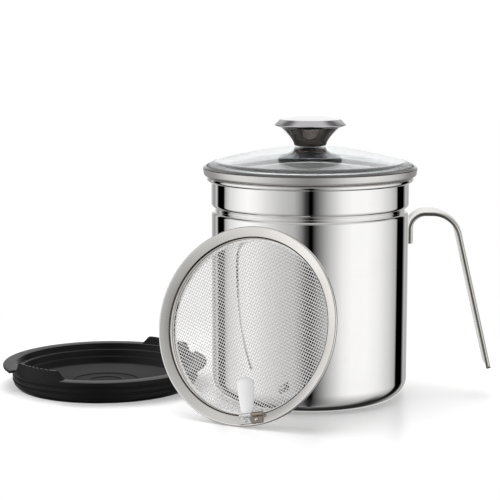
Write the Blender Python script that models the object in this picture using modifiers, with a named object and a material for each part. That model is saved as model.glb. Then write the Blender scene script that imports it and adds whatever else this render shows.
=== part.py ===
"""Bacon grease container: a steel pot with a hooked strap handle, a glass lid with a knob,
a lift-out strainer that leans on the pot, and a moulded storage lid lying beside it.

Metres, +Z up. The origin is on the table, on the axis of the pot. The handle points along +X.
"""

import math

import bmesh
import bpy
from mathutils import Matrix, Vector

# Clearances and working values shared by all the pieces
GAP = 0.0003
CUT_OVERRUN = 0.0020
MERGE_DISTANCE = 0.000001
ROUND_STEPS = 44
SMALL_STEPS = 24
FINE_STEPS = 16

# Pot: one drawn sheet, with a rolled rim and an inward bead that the strainer seats on
POT_RADIUS = 0.0600
POT_WALL = 0.0006
POT_BAND_STEP = 0.0002
POT_HEIGHT = 0.1349
POT_BASE_CORNER = 0.0120
POT_ROLL_INNER = 0.0010
BEAD_DROP = 0.0199
BEAD_DEPTH = 0.0024
BEAD_SHOULDER = 0.0030
BEAD_VALLEY = 0.0010

# Handle: one bent strap, welded to the wall by its short stub, open at its lower end
STRAP_WIDTH = 0.0245
STRAP_THICKNESS = 0.0024
STRAP_EDGE = 0.0007
STRAP_END_RADIUS = 0.0035
STRAP_CREST_DROP = 0.0207
STRAP_STUB_LENGTH = 0.0192
STRAP_INNER_BEND = 0.0095
STRAP_TOP_RUN = 0.0039
STRAP_OUTER_BEND = 0.0165
STRAP_LEG_END = 0.0180
STRAP_LEG_SPLAY = math.radians(13.1)
STRAP_END_SHARES = (0.00, 0.40, 0.75, 1.00)

# Glass lid: a domed glass in a rolled steel band with a skirt that drops into the pot
GLASS_THICKNESS = 0.0040
GLASS_SPHERE = 0.1639
GLASS_CROWN_RADIUS = 0.0360
GLASS_SHOULDER_WIDTH = 0.0065
GLASS_SHOULDER_BEND = 0.0094
GLASS_EDGE_HEIGHT = 0.0028
GLASS_EDGE_GRIND = 0.0006
GLASS_EDGE_CLEARANCE = 0.0010
GLASS_HOLE_CLEARANCE = 0.0006
BAND_SHEET = 0.0005
BAND_OVERHANG = 0.0022
BAND_TAPER = 0.0005
BAND_LIP = 0.0006
BAND_CORNER = 0.0008
BAND_FOOT_BEND = 0.0016
SKIRT_CLEARANCE = 0.0007
SKIRT_DEPTH = 0.0058

# Knob: a flared stem and a domed cap, held by a screw through the glass
STEM_HEIGHT = 0.0110
STEM_FOOT_WALL = 0.0024
STEM_FOOT_FLARE = 0.0009
STEM_FOOT_ROUND = 0.0008
STEM_FLARE_POWER_SHARE = 1.45
SPIGOT_RADIUS = 0.0100
SPIGOT_HEIGHT = 0.0012
CAP_RADIUS = 0.0220
CAP_OVERHANG = 0.0042
CAP_BEVEL_WIDTH = 0.0034
CAP_BEVEL_HEIGHT = 0.0036
CAP_UNDER_BEVEL = 0.0012
CAP_DOME = 0.0019
INSERT_WALL = 0.0012
INSERT_LENGTH = 0.0070
SCREW_RADIUS = 0.0021
SCREW_HEAD_RADIUS = 0.0044
SCREW_HEAD_HEIGHT = 0.0031
SCREW_TIP_MARGIN = 0.0010
SEAL_RADIUS = 0.0063
SEAL_THICKNESS = 0.0008
GASKET_RADIUS = 0.0088
CUP_SHEET = 0.0008
CUP_FLAT_RADIUS = 0.0084
CUP_RIM_RADIUS = 0.0116
CUP_DEPTH = 0.0030

# Strainer: a dished ring, a wire net, the ring that clamps it, and a folding lift tab
RING_CLEARANCE = 0.0020
RING_SHEET = 0.0005
RING_EDGE_ROUND = 0.0008
RING_LIP = 0.0008
RING_FLANGE_WIDTH = 0.0059
RING_DISH = 0.0020
RING_BEND = 0.0007
RING_WALL_DEPTH = 0.0031
RING_FOOT = 0.0016
NET_THICKNESS = 0.0006
NET_PITCH = 0.0060
NET_WIRE = 0.0014
NET_RIM = 0.0030
CLAMP_SHEET = 0.0005
CLAMP_HEIGHT = 0.0036
CLAMP_FOOT = 0.0022

# Stance of the strainer: it stands on the table and leans back on the wall of the pot
STRAINER_LEAN = math.radians(15.5)
STRAINER_BEARING = math.radians(26.9)

# Lift tab of the strainer, on a pin in a bracket that two rivets hold on the flange
TAB_BEARING = math.radians(12.8)
TAB_LENGTH = 0.0216
TAB_WIDTH = 0.0112
TAB_SHEET = 0.0006
TAB_KNUCKLE_LENGTH = 0.0060
TAB_KNUCKLE_OFFSET = 0.0028
TAB_OUTLINE_SHARES = ((0.05, 0.74), (0.78, 1.00), (0.88, 0.91), (0.95, 0.66), (1.00, 0.34))
KNUCKLE_RADIUS = 0.0013
KNUCKLE_SINK = 0.0001
PIN_RADIUS = 0.0005
BRACKET_KNUCKLE = 0.0011
BRACKET_DEPTH = 0.0053
BRACKET_SHEET = 0.0006
BRACKET_CLEARANCE = 0.0005
RIVET_RADIUS = 0.0006
RIVET_HEAD_RADIUS = 0.0011
RIVET_HEAD_HEIGHT = 0.0006
RIVET_SPACING = 0.0070
RIVET_SETBACK = 0.0031

# Storage lid: a shallow ribbed plug with a flat flange and two raised grips
STORE_SPACING = 0.0065
STORE_BEARING = math.radians(9.7)
STORE_PLUG_CLEARANCE = 0.0012
STORE_HEIGHT = 0.0143
STORE_FLANGE = 0.0016
STORE_FLANGE_WIDTH = 0.0058
STORE_FLANGE_ROUND = 0.0005
STORE_GROOVE_DEPTH = 0.0009
STORE_RIB_COUNT = 3
STORE_BASE_CORNER = 0.0024
STORE_BASE_INSET = 0.0029
STORE_WALL = 0.0022
STORE_FLOOR = 0.0016
STORE_STEP = 0.0020
STORE_RING_RADII = (0.0107, 0.0214)
STORE_RING_HEIGHT = 0.0005
STORE_RING_WIDTH = 0.0010
GRIP_HEIGHT = 0.0052
GRIP_WALL = 0.0024
GRIP_PROUD = 0.0013
GRIP_BEARING = math.radians(50.5)
GRIP_TOP_SPAN = math.radians(14.0)
GRIP_FOOT_SPAN = math.radians(22.0)
GRIP_GROOVES = 7
GRIP_GROOVE_WIDTH = 0.0014
GRIP_GROOVE_DEPTH = 0.0006

# Radii that follow from the pot's and the screw's
POT_BAND_RADIUS = POT_RADIUS + POT_BAND_STEP
POT_MOUTH_RADIUS = POT_BAND_RADIUS - POT_WALL
BAND_RADIUS = POT_BAND_RADIUS + 2 * POT_ROLL_INNER + POT_WALL + BAND_OVERHANG
BAND_FOOT_RADIUS = BAND_RADIUS - BAND_TAPER
GLASS_RADIUS = BAND_RADIUS - BAND_SHEET - GLASS_EDGE_CLEARANCE
GLASS_SHOULDER_RADIUS = GLASS_RADIUS - GLASS_SHOULDER_WIDTH
GLASS_HOLE = SCREW_RADIUS + GLASS_HOLE_CLEARANCE
STEM_FOOT_RADIUS = SEAL_RADIUS + GAP + STEM_FOOT_WALL
STEM_WAIST_RADIUS = STEM_FOOT_RADIUS + STEM_FOOT_FLARE
STEM_TOP_RADIUS = CAP_RADIUS - CAP_OVERHANG
CAP_TOP_RADIUS = CAP_RADIUS - CAP_BEVEL_WIDTH
INSERT_BORE = SCREW_RADIUS + GAP
INSERT_RADIUS = INSERT_BORE + INSERT_WALL
RING_RADIUS = POT_MOUTH_RADIUS - RING_CLEARANCE
RING_FLANGE_INNER = RING_RADIUS - RING_FLANGE_WIDTH
RING_WALL_RADIUS = RING_FLANGE_INNER - RING_BEND
BRACKET_WIDTH = 2 * (TAB_KNUCKLE_OFFSET + TAB_KNUCKLE_LENGTH / 2 + GAP + BRACKET_KNUCKLE)
STORE_PLUG_RADIUS = POT_MOUTH_RADIUS - STORE_PLUG_CLEARANCE
STORE_RADIUS = STORE_PLUG_RADIUS + STORE_FLANGE_WIDTH
STORE_BASE_RADIUS = STORE_PLUG_RADIUS - STORE_BASE_INSET
GRIP_RADIUS = STORE_PLUG_RADIUS + GRIP_PROUD

# Levels that follow from the driving dimensions
BEAD_HEIGHT = POT_HEIGHT - BEAD_DROP
STRAP_CREST = POT_HEIGHT - STRAP_CREST_DROP
STRAP_STUB_FOOT = STRAP_CREST - STRAP_STUB_LENGTH
LID_SEAT = POT_HEIGHT + GAP
GLASS_FOOT = LID_SEAT + BAND_SHEET + GAP
GLASS_EDGE_TOP = GLASS_FOOT + GLASS_EDGE_HEIGHT
GLASS_SLOPE = math.asin(GLASS_CROWN_RADIUS / GLASS_SPHERE)
GLASS_EDGE_SLOPE = math.asin(math.sin(GLASS_SLOPE) + GLASS_SHOULDER_WIDTH / GLASS_SHOULDER_BEND)
GLASS_SHOULDER_CENTRE = (GLASS_SHOULDER_RADIUS - GLASS_SHOULDER_BEND * math.sin(GLASS_SLOPE),
                         GLASS_EDGE_TOP - GLASS_SHOULDER_BEND * math.cos(GLASS_EDGE_SLOPE))
GLASS_APEX = (GLASS_SHOULDER_CENTRE[1] + GLASS_SHOULDER_BEND * math.cos(GLASS_SLOPE)
              + (GLASS_SHOULDER_RADIUS - GLASS_CROWN_RADIUS) * math.tan(GLASS_SLOPE)
              + GLASS_SPHERE * (1 - math.cos(GLASS_SLOPE)))
GLASS_UNDERSIDE = GLASS_APEX - GLASS_THICKNESS
KNOB_BASE = GLASS_APEX + GAP
SEAL_SEAT = KNOB_BASE + SEAL_THICKNESS + GAP
STEM_TOP = KNOB_BASE + STEM_HEIGHT
CUP_TOP = GLASS_UNDERSIDE - GAP - SEAL_THICKNESS - GAP
SCREW_HEAD_TOP = CUP_TOP - CUP_SHEET - GAP
INSERT_FOOT = SEAL_SEAT + GAP
NET_TOP = -RING_DISH - RING_WALL_DEPTH - RING_SHEET - GAP
CLAMP_RADIUS = RING_WALL_RADIUS + RING_SHEET + GAP + CLAMP_SHEET
CLAMP_FACE = NET_TOP - NET_THICKNESS - GAP - CLAMP_SHEET
FLANGE_SLOPE = math.atan2(RING_DISH, RING_RADIUS - RING_EDGE_ROUND - RING_FLANGE_INNER)
HINGE_LIFT = BRACKET_CLEARANCE + KNUCKLE_RADIUS
HINGE_RADIUS = RING_FLANGE_INNER - HINGE_LIFT * math.sin(FLANGE_SLOPE)
HINGE_HEIGHT = -RING_DISH + HINGE_LIFT * math.cos(FLANGE_SLOPE)


def clear_scene():
    """Remove whatever the scene holds."""
    for thing in list(bpy.data.objects):
        bpy.data.objects.remove(thing, do_unlink=True)


def collection(name):
    """A new collection under the scene."""
    group = bpy.data.collections.new(name)
    bpy.context.scene.collection.children.link(group)
    return group


def material(name, colour, roughness, metallic):
    """A plain Principled material."""
    made = bpy.data.materials.new(name)
    made.use_nodes = True
    shader = made.node_tree.nodes["Principled BSDF"]
    shader.inputs["Base Color"].default_value = (*colour, 1.0)
    shader.inputs["Roughness"].default_value = roughness
    shader.inputs["Metallic"].default_value = metallic
    made.diffuse_color = (*colour, 1.0)
    return made


def add_object(name, mesh, finish, group, parent=None):
    """Link a mesh as a named object with one material."""
    thing = bpy.data.objects.new(name, mesh)
    group.objects.link(thing)
    if finish is not None:
        mesh.materials.append(finish)
    thing.parent = parent
    return thing


def hide_cutter(thing):
    """Show a cutter as wires only."""
    thing.hide_render = True
    thing.display_type = "WIRE"
    return thing


def arc(centre, radius, start, end, count):
    """Points along an arc, with its angles in degrees."""
    points = []
    for step in range(count + 1):
        angle = math.radians(start + (end - start) * step / count)
        points.append((centre[0] + radius * math.cos(angle), centre[1] + radius * math.sin(angle)))
    return points


def turned(name, outline, finish, group, parent=None, steps=ROUND_STEPS, sheet=None, closed=False):
    """Turn an outline of (radius, height) points about Z, as a solid or as a sheet.

    The outline runs down the outer side of the piece. A sheet grows inwards from it.
    """
    mesh = bpy.data.meshes.new(name)
    edges = [(index, index + 1) for index in range(len(outline) - 1)]
    if closed:
        edges.append((len(outline) - 1, 0))
    mesh.from_pydata([(radius, 0.0, height) for radius, height in outline], edges, [])
    thing = add_object(name, mesh, finish, group, parent)
    screw = thing.modifiers.new("turn", "SCREW")
    screw.steps = steps
    screw.render_steps = steps
    screw.use_merge_vertices = True
    screw.merge_threshold = MERGE_DISTANCE
    screw.use_smooth_shade = True
    if sheet is not None:
        solidify = thing.modifiers.new("sheet", "SOLIDIFY")
        solidify.thickness = sheet
        solidify.offset = -1.0
        solidify.use_even_offset = True
    return thing


def rod(name, radius, length, frame, finish, group, parent=None, steps=FINE_STEPS):
    """A cylinder along Z, centred on the origin of its frame."""
    shape = bmesh.new()
    bmesh.ops.create_cone(shape, cap_ends=True, segments=steps, radius1=radius, radius2=radius,
                          depth=length, matrix=frame)
    mesh = bpy.data.meshes.new(name)
    shape.to_mesh(mesh)
    shape.free()
    return add_object(name, mesh, finish, group, parent)


def block(name, size, frame, finish, group, parent=None):
    """A box of the given size, centred on the origin of its frame."""
    shape = bmesh.new()
    bmesh.ops.create_cube(shape, size=1.0, matrix=frame @ Matrix.Diagonal((*size, 1.0)))
    mesh = bpy.data.meshes.new(name)
    shape.to_mesh(mesh)
    shape.free()
    return add_object(name, mesh, finish, group, parent)


def blocks(name, size, frames, group, parent=None):
    """Several equal boxes as one cutter."""
    shape = bmesh.new()
    for frame in frames:
        bmesh.ops.create_cube(shape, size=1.0, matrix=frame @ Matrix.Diagonal((*size, 1.0)))
    mesh = bpy.data.meshes.new(name)
    shape.to_mesh(mesh)
    shape.free()
    return hide_cutter(add_object(name, mesh, None, group, parent))


def rods(name, radius, length, frames, group, parent=None, steps=FINE_STEPS):
    """Several equal cylinders as one cutter."""
    shape = bmesh.new()
    for frame in frames:
        bmesh.ops.create_cone(shape, cap_ends=True, segments=steps, radius1=radius,
                              radius2=radius, depth=length, matrix=frame)
    mesh = bpy.data.meshes.new(name)
    shape.to_mesh(mesh)
    shape.free()
    return hide_cutter(add_object(name, mesh, None, group, parent))


def plate(name, outline, thickness, height, finish, group, parent=None):
    """A flat outline in XY, given a thickness and set at a height."""
    drawing = bpy.data.curves.new(name + "_outline", "CURVE")
    drawing.dimensions = "2D"
    drawing.fill_mode = "BOTH"
    drawing.extrude = thickness / 2
    spline = drawing.splines.new("POLY")
    spline.points.add(len(outline) - 1)
    for point, (across, along) in zip(spline.points, outline):
        point.co = (across, along, 0.0, 1.0)
    spline.use_cyclic_u = True
    flat = bpy.data.objects.new(name + "_outline", drawing)
    bpy.context.scene.collection.objects.link(flat)
    mesh = bpy.data.meshes.new_from_object(flat.evaluated_get(bpy.context.evaluated_depsgraph_get()))
    bpy.data.objects.remove(flat, do_unlink=True)
    shape = bmesh.new()
    shape.from_mesh(mesh)
    bmesh.ops.remove_doubles(shape, verts=shape.verts, dist=MERGE_DISTANCE)
    bmesh.ops.translate(shape, verts=shape.verts, vec=(0.0, 0.0, height))
    shape.to_mesh(mesh)
    shape.free()
    mesh.name = name
    return add_object(name, mesh, finish, group, parent)


def combine(thing, operand, operation):
    """Cut or join a piece with a hidden operand."""
    step = thing.modifiers.new(operation.lower(), "BOOLEAN")
    step.operation = operation
    step.object = operand
    step.solver = "EXACT"
    return thing


def bevel(thing, width, segments=2):
    """Round the sharp edges of a piece."""
    step = thing.modifiers.new("edges", "BEVEL")
    step.width = width
    step.segments = segments
    step.limit_method = "ANGLE"
    step.angle_limit = math.radians(40.0)
    return thing


def empty(name, place, group, parent=None):
    """A frame that carries other pieces."""
    frame = bpy.data.objects.new(name, None)
    group.objects.link(frame)
    frame.parent = parent
    frame.matrix_local = place
    return frame


def bead_arcs(band_radius):
    """How far round the shoulder runs before the valley, and how high it stands over it."""
    depth = band_radius - (POT_RADIUS - BEAD_DEPTH)
    reach = BEAD_SHOULDER + BEAD_VALLEY
    swing = math.acos(1 - depth / reach)
    return math.degrees(swing), reach * math.sin(swing)


def pot_outline():
    """Outer face of the pot's sheet, from the end of the rim's roll down to the axis."""
    roll = (POT_BAND_RADIUS + POT_ROLL_INNER, POT_HEIGHT - POT_ROLL_INNER - POT_WALL)
    upper_swing, upper_rise = bead_arcs(POT_BAND_RADIUS)
    lower_swing, lower_rise = bead_arcs(POT_RADIUS)
    valley = (POT_RADIUS - BEAD_DEPTH + BEAD_VALLEY, BEAD_HEIGHT)
    outline = arc(roll, POT_ROLL_INNER, -100.0, 180.0, 6)
    outline += arc((POT_BAND_RADIUS - BEAD_SHOULDER, BEAD_HEIGHT + upper_rise), BEAD_SHOULDER,
                   0.0, -upper_swing, 2)
    outline += arc(valley, BEAD_VALLEY, 180.0 - upper_swing, 180.0 + lower_swing, 3)[1:]
    outline += arc((POT_RADIUS - BEAD_SHOULDER, BEAD_HEIGHT - lower_rise), BEAD_SHOULDER,
                   lower_swing, 0.0, 2)[1:]
    outline += arc((POT_RADIUS - POT_BASE_CORNER, POT_BASE_CORNER), POT_BASE_CORNER, 0.0, -90.0, 4)
    outline.append((0.0, 0.0))
    return outline


def strap_path():
    """Centre line of the handle in XZ, from the foot of the stub to the end of the leg.

    Each point carries how much of the wall's curve the strap takes up there.
    """
    stub_x = POT_RADIUS + GAP + STRAP_THICKNESS / 2
    crest = STRAP_CREST - STRAP_THICKNESS / 2
    first = (stub_x + STRAP_INNER_BEND, crest - STRAP_INNER_BEND)
    second = (first[0] + STRAP_TOP_RUN, crest - STRAP_OUTER_BEND)
    stub = [(stub_x, STRAP_STUB_FOOT, 1.0)]
    rise = arc(first, STRAP_INNER_BEND, 180.0, 90.0, 6)
    wrap_end = len(rise) - 1
    bend = [(x, z, 1.0 - index / wrap_end) for index, (x, z) in enumerate(rise)]
    splay = math.degrees(STRAP_LEG_SPLAY)
    fall = [(x, z, 0.0) for x, z in arc(second, STRAP_OUTER_BEND, 90.0, splay, 8)]
    knee_x, knee_z, _ = fall[-1]
    leg_length = (knee_z - STRAP_LEG_END) / math.cos(STRAP_LEG_SPLAY)
    round_start = leg_length - STRAP_END_RADIUS
    leg = []
    for share in STRAP_END_SHARES:
        along = round_start + share * STRAP_END_RADIUS
        leg.append((knee_x + along * math.sin(STRAP_LEG_SPLAY),
                    knee_z - along * math.cos(STRAP_LEG_SPLAY), 0.0))
    return stub + bend + fall + leg


def strap_half_width(index, count):
    """Half the strap's width at a station, drawn in round the free end."""
    half = STRAP_WIDTH / 2
    past = index - (count - len(STRAP_END_SHARES))
    if past <= 0:
        return half
    share = STRAP_END_SHARES[past]
    return half - STRAP_END_RADIUS + STRAP_END_RADIUS * math.sqrt(max(0.0, 1.0 - share ** 2))


def make_pot(parts, steel, satin):
    """The pot's body and its strap handle."""
    turned("pot_body", pot_outline(), steel, parts, sheet=POT_WALL)
    path = strap_path()
    columns = 4
    shape = bmesh.new()
    bmesh.ops.create_grid(shape, x_segments=len(path) - 1, y_segments=columns, size=1.0)
    for vert in shape.verts:
        index = round((vert.co.x + 1) / 2 * (len(path) - 1))
        x, z, wrap = path[index]
        across = vert.co.y * strap_half_width(index, len(path))
        sag = wrap * (POT_RADIUS - math.sqrt(POT_RADIUS ** 2 - across ** 2))
        vert.co = (x - sag, across, z)
    mesh = bpy.data.meshes.new("pot_handle")
    shape.to_mesh(mesh)
    shape.free()
    handle = add_object("pot_handle", mesh, satin, parts)
    solidify = handle.modifiers.new("strap", "SOLIDIFY")
    solidify.thickness = STRAP_THICKNESS
    solidify.offset = 0.0
    solidify.use_even_offset = True
    bevel(handle, STRAP_EDGE)


def dome(radius, apex, sphere):
    """Height of a dome at a radius."""
    return apex - sphere + math.sqrt(sphere ** 2 - radius ** 2)


def glass_face(inset):
    """Section of the glass at an inset from its outer face: crown, straight fall and shoulder."""
    sphere = GLASS_SPHERE - inset
    start = 90.0 - math.degrees(math.asin(GLASS_HOLE / sphere))
    slope = 90.0 - math.degrees(GLASS_SLOPE)
    edge = 90.0 - math.degrees(GLASS_EDGE_SLOPE)
    return (arc((0.0, GLASS_APEX - GLASS_SPHERE), sphere, start, slope, 3)
            + arc(GLASS_SHOULDER_CENTRE, GLASS_SHOULDER_BEND - inset, slope, edge, 3))


def glass_outline():
    """Section of the domed glass, with its hole for the screw and its ground edge."""
    under = glass_face(GLASS_THICKNESS)
    ground = [(GLASS_RADIUS, GLASS_FOOT + GLASS_EDGE_GRIND), (GLASS_RADIUS - GLASS_EDGE_GRIND, GLASS_FOOT),
              (under[-1][0], GLASS_FOOT)]
    return glass_face(0.0) + ground + under[::-1]


def band_outline():
    """Outer face of the lid's steel band, from its lip over the glass down to the skirt."""
    centre_radius, centre_height = GLASS_SHOULDER_CENTRE
    lip_start = GLASS_RADIUS - BAND_LIP
    over = GLASS_SHOULDER_BEND + GAP + BAND_SHEET
    lip = (lip_start, centre_height + math.sqrt(over ** 2 - (lip_start - centre_radius) ** 2))
    shoulder = (BAND_RADIUS - BAND_CORNER, GLASS_EDGE_TOP + BAND_CORNER)
    foot = (BAND_FOOT_RADIUS - BAND_FOOT_BEND, LID_SEAT + BAND_FOOT_BEND)
    skirt_radius = POT_MOUTH_RADIUS - SKIRT_CLEARANCE
    outline = [lip] + arc(shoulder, BAND_CORNER, 60.0, 0.0, 2)
    outline += arc(foot, BAND_FOOT_BEND, 0.0, -90.0, 3)
    outline += [(skirt_radius, LID_SEAT), (skirt_radius, LID_SEAT - SKIRT_DEPTH)]
    return outline


def stem_outline():
    """Section of the knob's stem: spigot, flare, foot, seal recess and bore."""
    bore = INSERT_RADIUS + GAP
    recess = SEAL_RADIUS + GAP
    ceiling = INSERT_FOOT + INSERT_LENGTH + GAP
    outline = [(0.0, STEM_TOP + SPIGOT_HEIGHT), (SPIGOT_RADIUS, STEM_TOP + SPIGOT_HEIGHT),
               (SPIGOT_RADIUS, STEM_TOP)]
    flare = 7
    for step in range(flare + 1):
        share = 1.0 - step / flare
        radius = STEM_WAIST_RADIUS + (STEM_TOP_RADIUS - STEM_WAIST_RADIUS) * share ** STEM_FLARE_POWER_SHARE
        outline.append((radius, KNOB_BASE + STEM_FOOT_ROUND + (STEM_HEIGHT - STEM_FOOT_ROUND) * share))
    outline += [(STEM_FOOT_RADIUS, KNOB_BASE), (recess, KNOB_BASE), (recess, SEAL_SEAT),
                (bore, SEAL_SEAT), (bore, ceiling), (0.0, ceiling)]
    return outline


def cap_outline():
    """Section of the knob's cap: dome, bevel, thin edge and a socket for the spigot."""
    base = STEM_TOP + GAP
    edge = base + CAP_UNDER_BEVEL
    shoulder = edge + CAP_BEVEL_HEIGHT
    sphere = (CAP_TOP_RADIUS ** 2 + CAP_DOME ** 2) / (2 * CAP_DOME)
    socket = SPIGOT_RADIUS + GAP
    outline = []
    for step in range(5):
        radius = CAP_TOP_RADIUS * step / 4
        outline.append((radius, dome(radius, shoulder + CAP_DOME, sphere)))
    outline += [(CAP_RADIUS, edge), (STEM_TOP_RADIUS + CAP_UNDER_BEVEL, base), (socket, base),
                (socket, base + SPIGOT_HEIGHT), (0.0, base + SPIGOT_HEIGHT)]
    return outline


def washer_outline(inner, outer, low, high):
    """Section of a flat ring."""
    return [(inner, high), (outer, high), (outer, low), (inner, low)]


def make_glass_lid(parts, finishes, lid):
    """The glass lid with its band, knob and the hardware that holds the knob."""
    turned("lid_glass", glass_outline(), finishes["glass"], parts, lid, closed=True)
    turned("lid_rim_band", band_outline(), finishes["steel"], parts, lid, sheet=BAND_SHEET)
    turned("knob_stem", stem_outline(), finishes["dark"], parts, lid, SMALL_STEPS)
    turned("knob_cap", cap_outline(), finishes["steel"], parts, lid, SMALL_STEPS)
    turned("knob_seal", washer_outline(GLASS_HOLE, SEAL_RADIUS, KNOB_BASE, KNOB_BASE + SEAL_THICKNESS),
           finishes["rubber"], parts, lid, SMALL_STEPS, closed=True)
    turned("knob_insert", washer_outline(INSERT_BORE, INSERT_RADIUS, INSERT_FOOT,
                                         INSERT_FOOT + INSERT_LENGTH),
           finishes["brass"], parts, lid, SMALL_STEPS, closed=True)
    gasket_edge = dome(GASKET_RADIUS, GLASS_UNDERSIDE, GLASS_SPHERE - GLASS_THICKNESS) - GAP
    gasket = washer_outline(GLASS_HOLE, GASKET_RADIUS, CUP_TOP + GAP, GLASS_UNDERSIDE - GAP)
    gasket[1] = (GASKET_RADIUS, gasket_edge)
    turned("lid_gasket", gasket, finishes["rubber"], parts, lid, SMALL_STEPS, closed=True)
    cup = [(GLASS_HOLE, CUP_TOP), (CUP_FLAT_RADIUS, CUP_TOP)]
    cup += arc((CUP_FLAT_RADIUS, CUP_TOP - CUP_SHEET), CUP_SHEET, 70.0, 30.0, 1)
    cup.append((CUP_RIM_RADIUS, CUP_TOP - CUP_DEPTH))
    turned("retaining_cup", cup, finishes["steel"], parts, lid, SMALL_STEPS, sheet=CUP_SHEET)
    tip = INSERT_FOOT + INSERT_LENGTH - SCREW_TIP_MARGIN
    head_low = SCREW_HEAD_TOP - SCREW_HEAD_HEIGHT
    shaft = [(0.0, tip), (SCREW_RADIUS, tip), (SCREW_RADIUS, SCREW_HEAD_TOP)]
    head = [(SCREW_HEAD_RADIUS, SCREW_HEAD_TOP)]
    for angle in (20.0, 50.0, 75.0):
        swing = math.radians(angle)
        head.append((SCREW_HEAD_RADIUS * math.cos(swing),
                     SCREW_HEAD_TOP - SCREW_HEAD_HEIGHT * math.sin(swing)))
    turned("knob_screw", shaft + head + [(0.0, head_low)], finishes["steel"], parts, lid, SMALL_STEPS)


def ring_outline():
    """Front face of the strainer's ring, from its inner foot out to the turned-down lip."""
    wall_foot = -RING_DISH - RING_WALL_DEPTH
    outline = [(RING_WALL_RADIUS - RING_FOOT, wall_foot), (RING_WALL_RADIUS, wall_foot)]
    outline += [(RING_WALL_RADIUS, -RING_DISH - RING_BEND), (RING_FLANGE_INNER, -RING_DISH)]
    edge = (RING_RADIUS - RING_EDGE_ROUND, -RING_EDGE_ROUND)
    outline += arc(edge, RING_EDGE_ROUND, 100.0, 0.0, 2)
    outline.append((RING_RADIUS, -RING_EDGE_ROUND - RING_LIP))
    return outline


def clamp_outline():
    """Outer face of the ring that clamps the net under the strainer's foot."""
    return [(CLAMP_RADIUS, CLAMP_FACE + CLAMP_HEIGHT), (CLAMP_RADIUS, CLAMP_FACE),
            (CLAMP_RADIUS - CLAMP_SHEET - CLAMP_FOOT, CLAMP_FACE)]


def net_holes(radius):
    """Places of the holes that lie wholly inside the net's solid rim."""
    reach = radius - NET_RIM
    count = int(reach / NET_PITCH) + 1
    places = []
    for row in range(-count, count + 1):
        for column in range(-count, count + 1):
            x = column * NET_PITCH
            y = row * NET_PITCH
            if math.hypot(abs(x) + NET_PITCH / 2, abs(y) + NET_PITCH / 2) <= reach:
                places.append((x, y))
    return places


def strainer_stance():
    """Where the strainer stands: its lip on the table, its clamp ring against the pot's wall."""
    lip = RING_EDGE_ROUND + RING_LIP
    away = (POT_RADIUS + GAP + CLAMP_RADIUS * math.sin(STRAINER_LEAN)
            - CLAMP_FACE * math.cos(STRAINER_LEAN))
    height = RING_RADIUS * math.cos(STRAINER_LEAN) + lip * math.sin(STRAINER_LEAN)
    outward = Vector((-math.sin(STRAINER_BEARING), -math.cos(STRAINER_BEARING), 0.0))
    face = outward * math.cos(STRAINER_LEAN) + Vector((0.0, 0.0, math.sin(STRAINER_LEAN)))
    up = Vector((0.0, 0.0, math.cos(STRAINER_LEAN))) - outward * math.sin(STRAINER_LEAN)
    side = up.cross(face)
    turn = Matrix((side, up, face)).transposed().to_4x4()
    return Matrix.Translation(outward * away + Vector((0.0, 0.0, height))) @ turn


def make_strainer(parts, cutters, finishes, stance):
    """The strainer's ring, net and clamp ring, in the frame of its stance."""
    ring = turned("strainer_ring", ring_outline(), finishes["satin"], parts, stance, sheet=RING_SHEET)
    turned("net_clamp_ring", clamp_outline(), finishes["satin"], parts, stance, sheet=CLAMP_SHEET)
    net_radius = RING_WALL_RADIUS + RING_SHEET - GAP
    middle = NET_TOP - NET_THICKNESS / 2
    net = rod("strainer_net", net_radius, NET_THICKNESS, Matrix.Translation((0.0, 0.0, middle)),
              finishes["wire"], parts, stance, ROUND_STEPS)
    frames = [Matrix.Translation((x, y, middle)) for x, y in net_holes(net_radius)]
    hole = NET_PITCH - NET_WIRE
    combine(net, blocks("net_holes", (hole, hole, NET_THICKNESS + CUT_OVERRUN), frames, cutters, stance),
            "DIFFERENCE")
    return ring


def tab_outline():
    """Outline of the lift tab in the frame of its hinge, from the pin inwards."""
    half = TAB_WIDTH / 2
    neck = TAB_KNUCKLE_LENGTH / 2 - KNUCKLE_SINK
    neck_end = KNUCKLE_RADIUS + GAP
    side = [(neck, 0.0), (neck, neck_end)]
    side += [(share * half, neck_end + along * (TAB_LENGTH - neck_end))
             for along, share in TAB_OUTLINE_SHARES]
    right = [(x - TAB_KNUCKLE_OFFSET, y) for x, y in side]
    left = [(-x - TAB_KNUCKLE_OFFSET, y) for x, y in side]
    return right + left[::-1]


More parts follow.
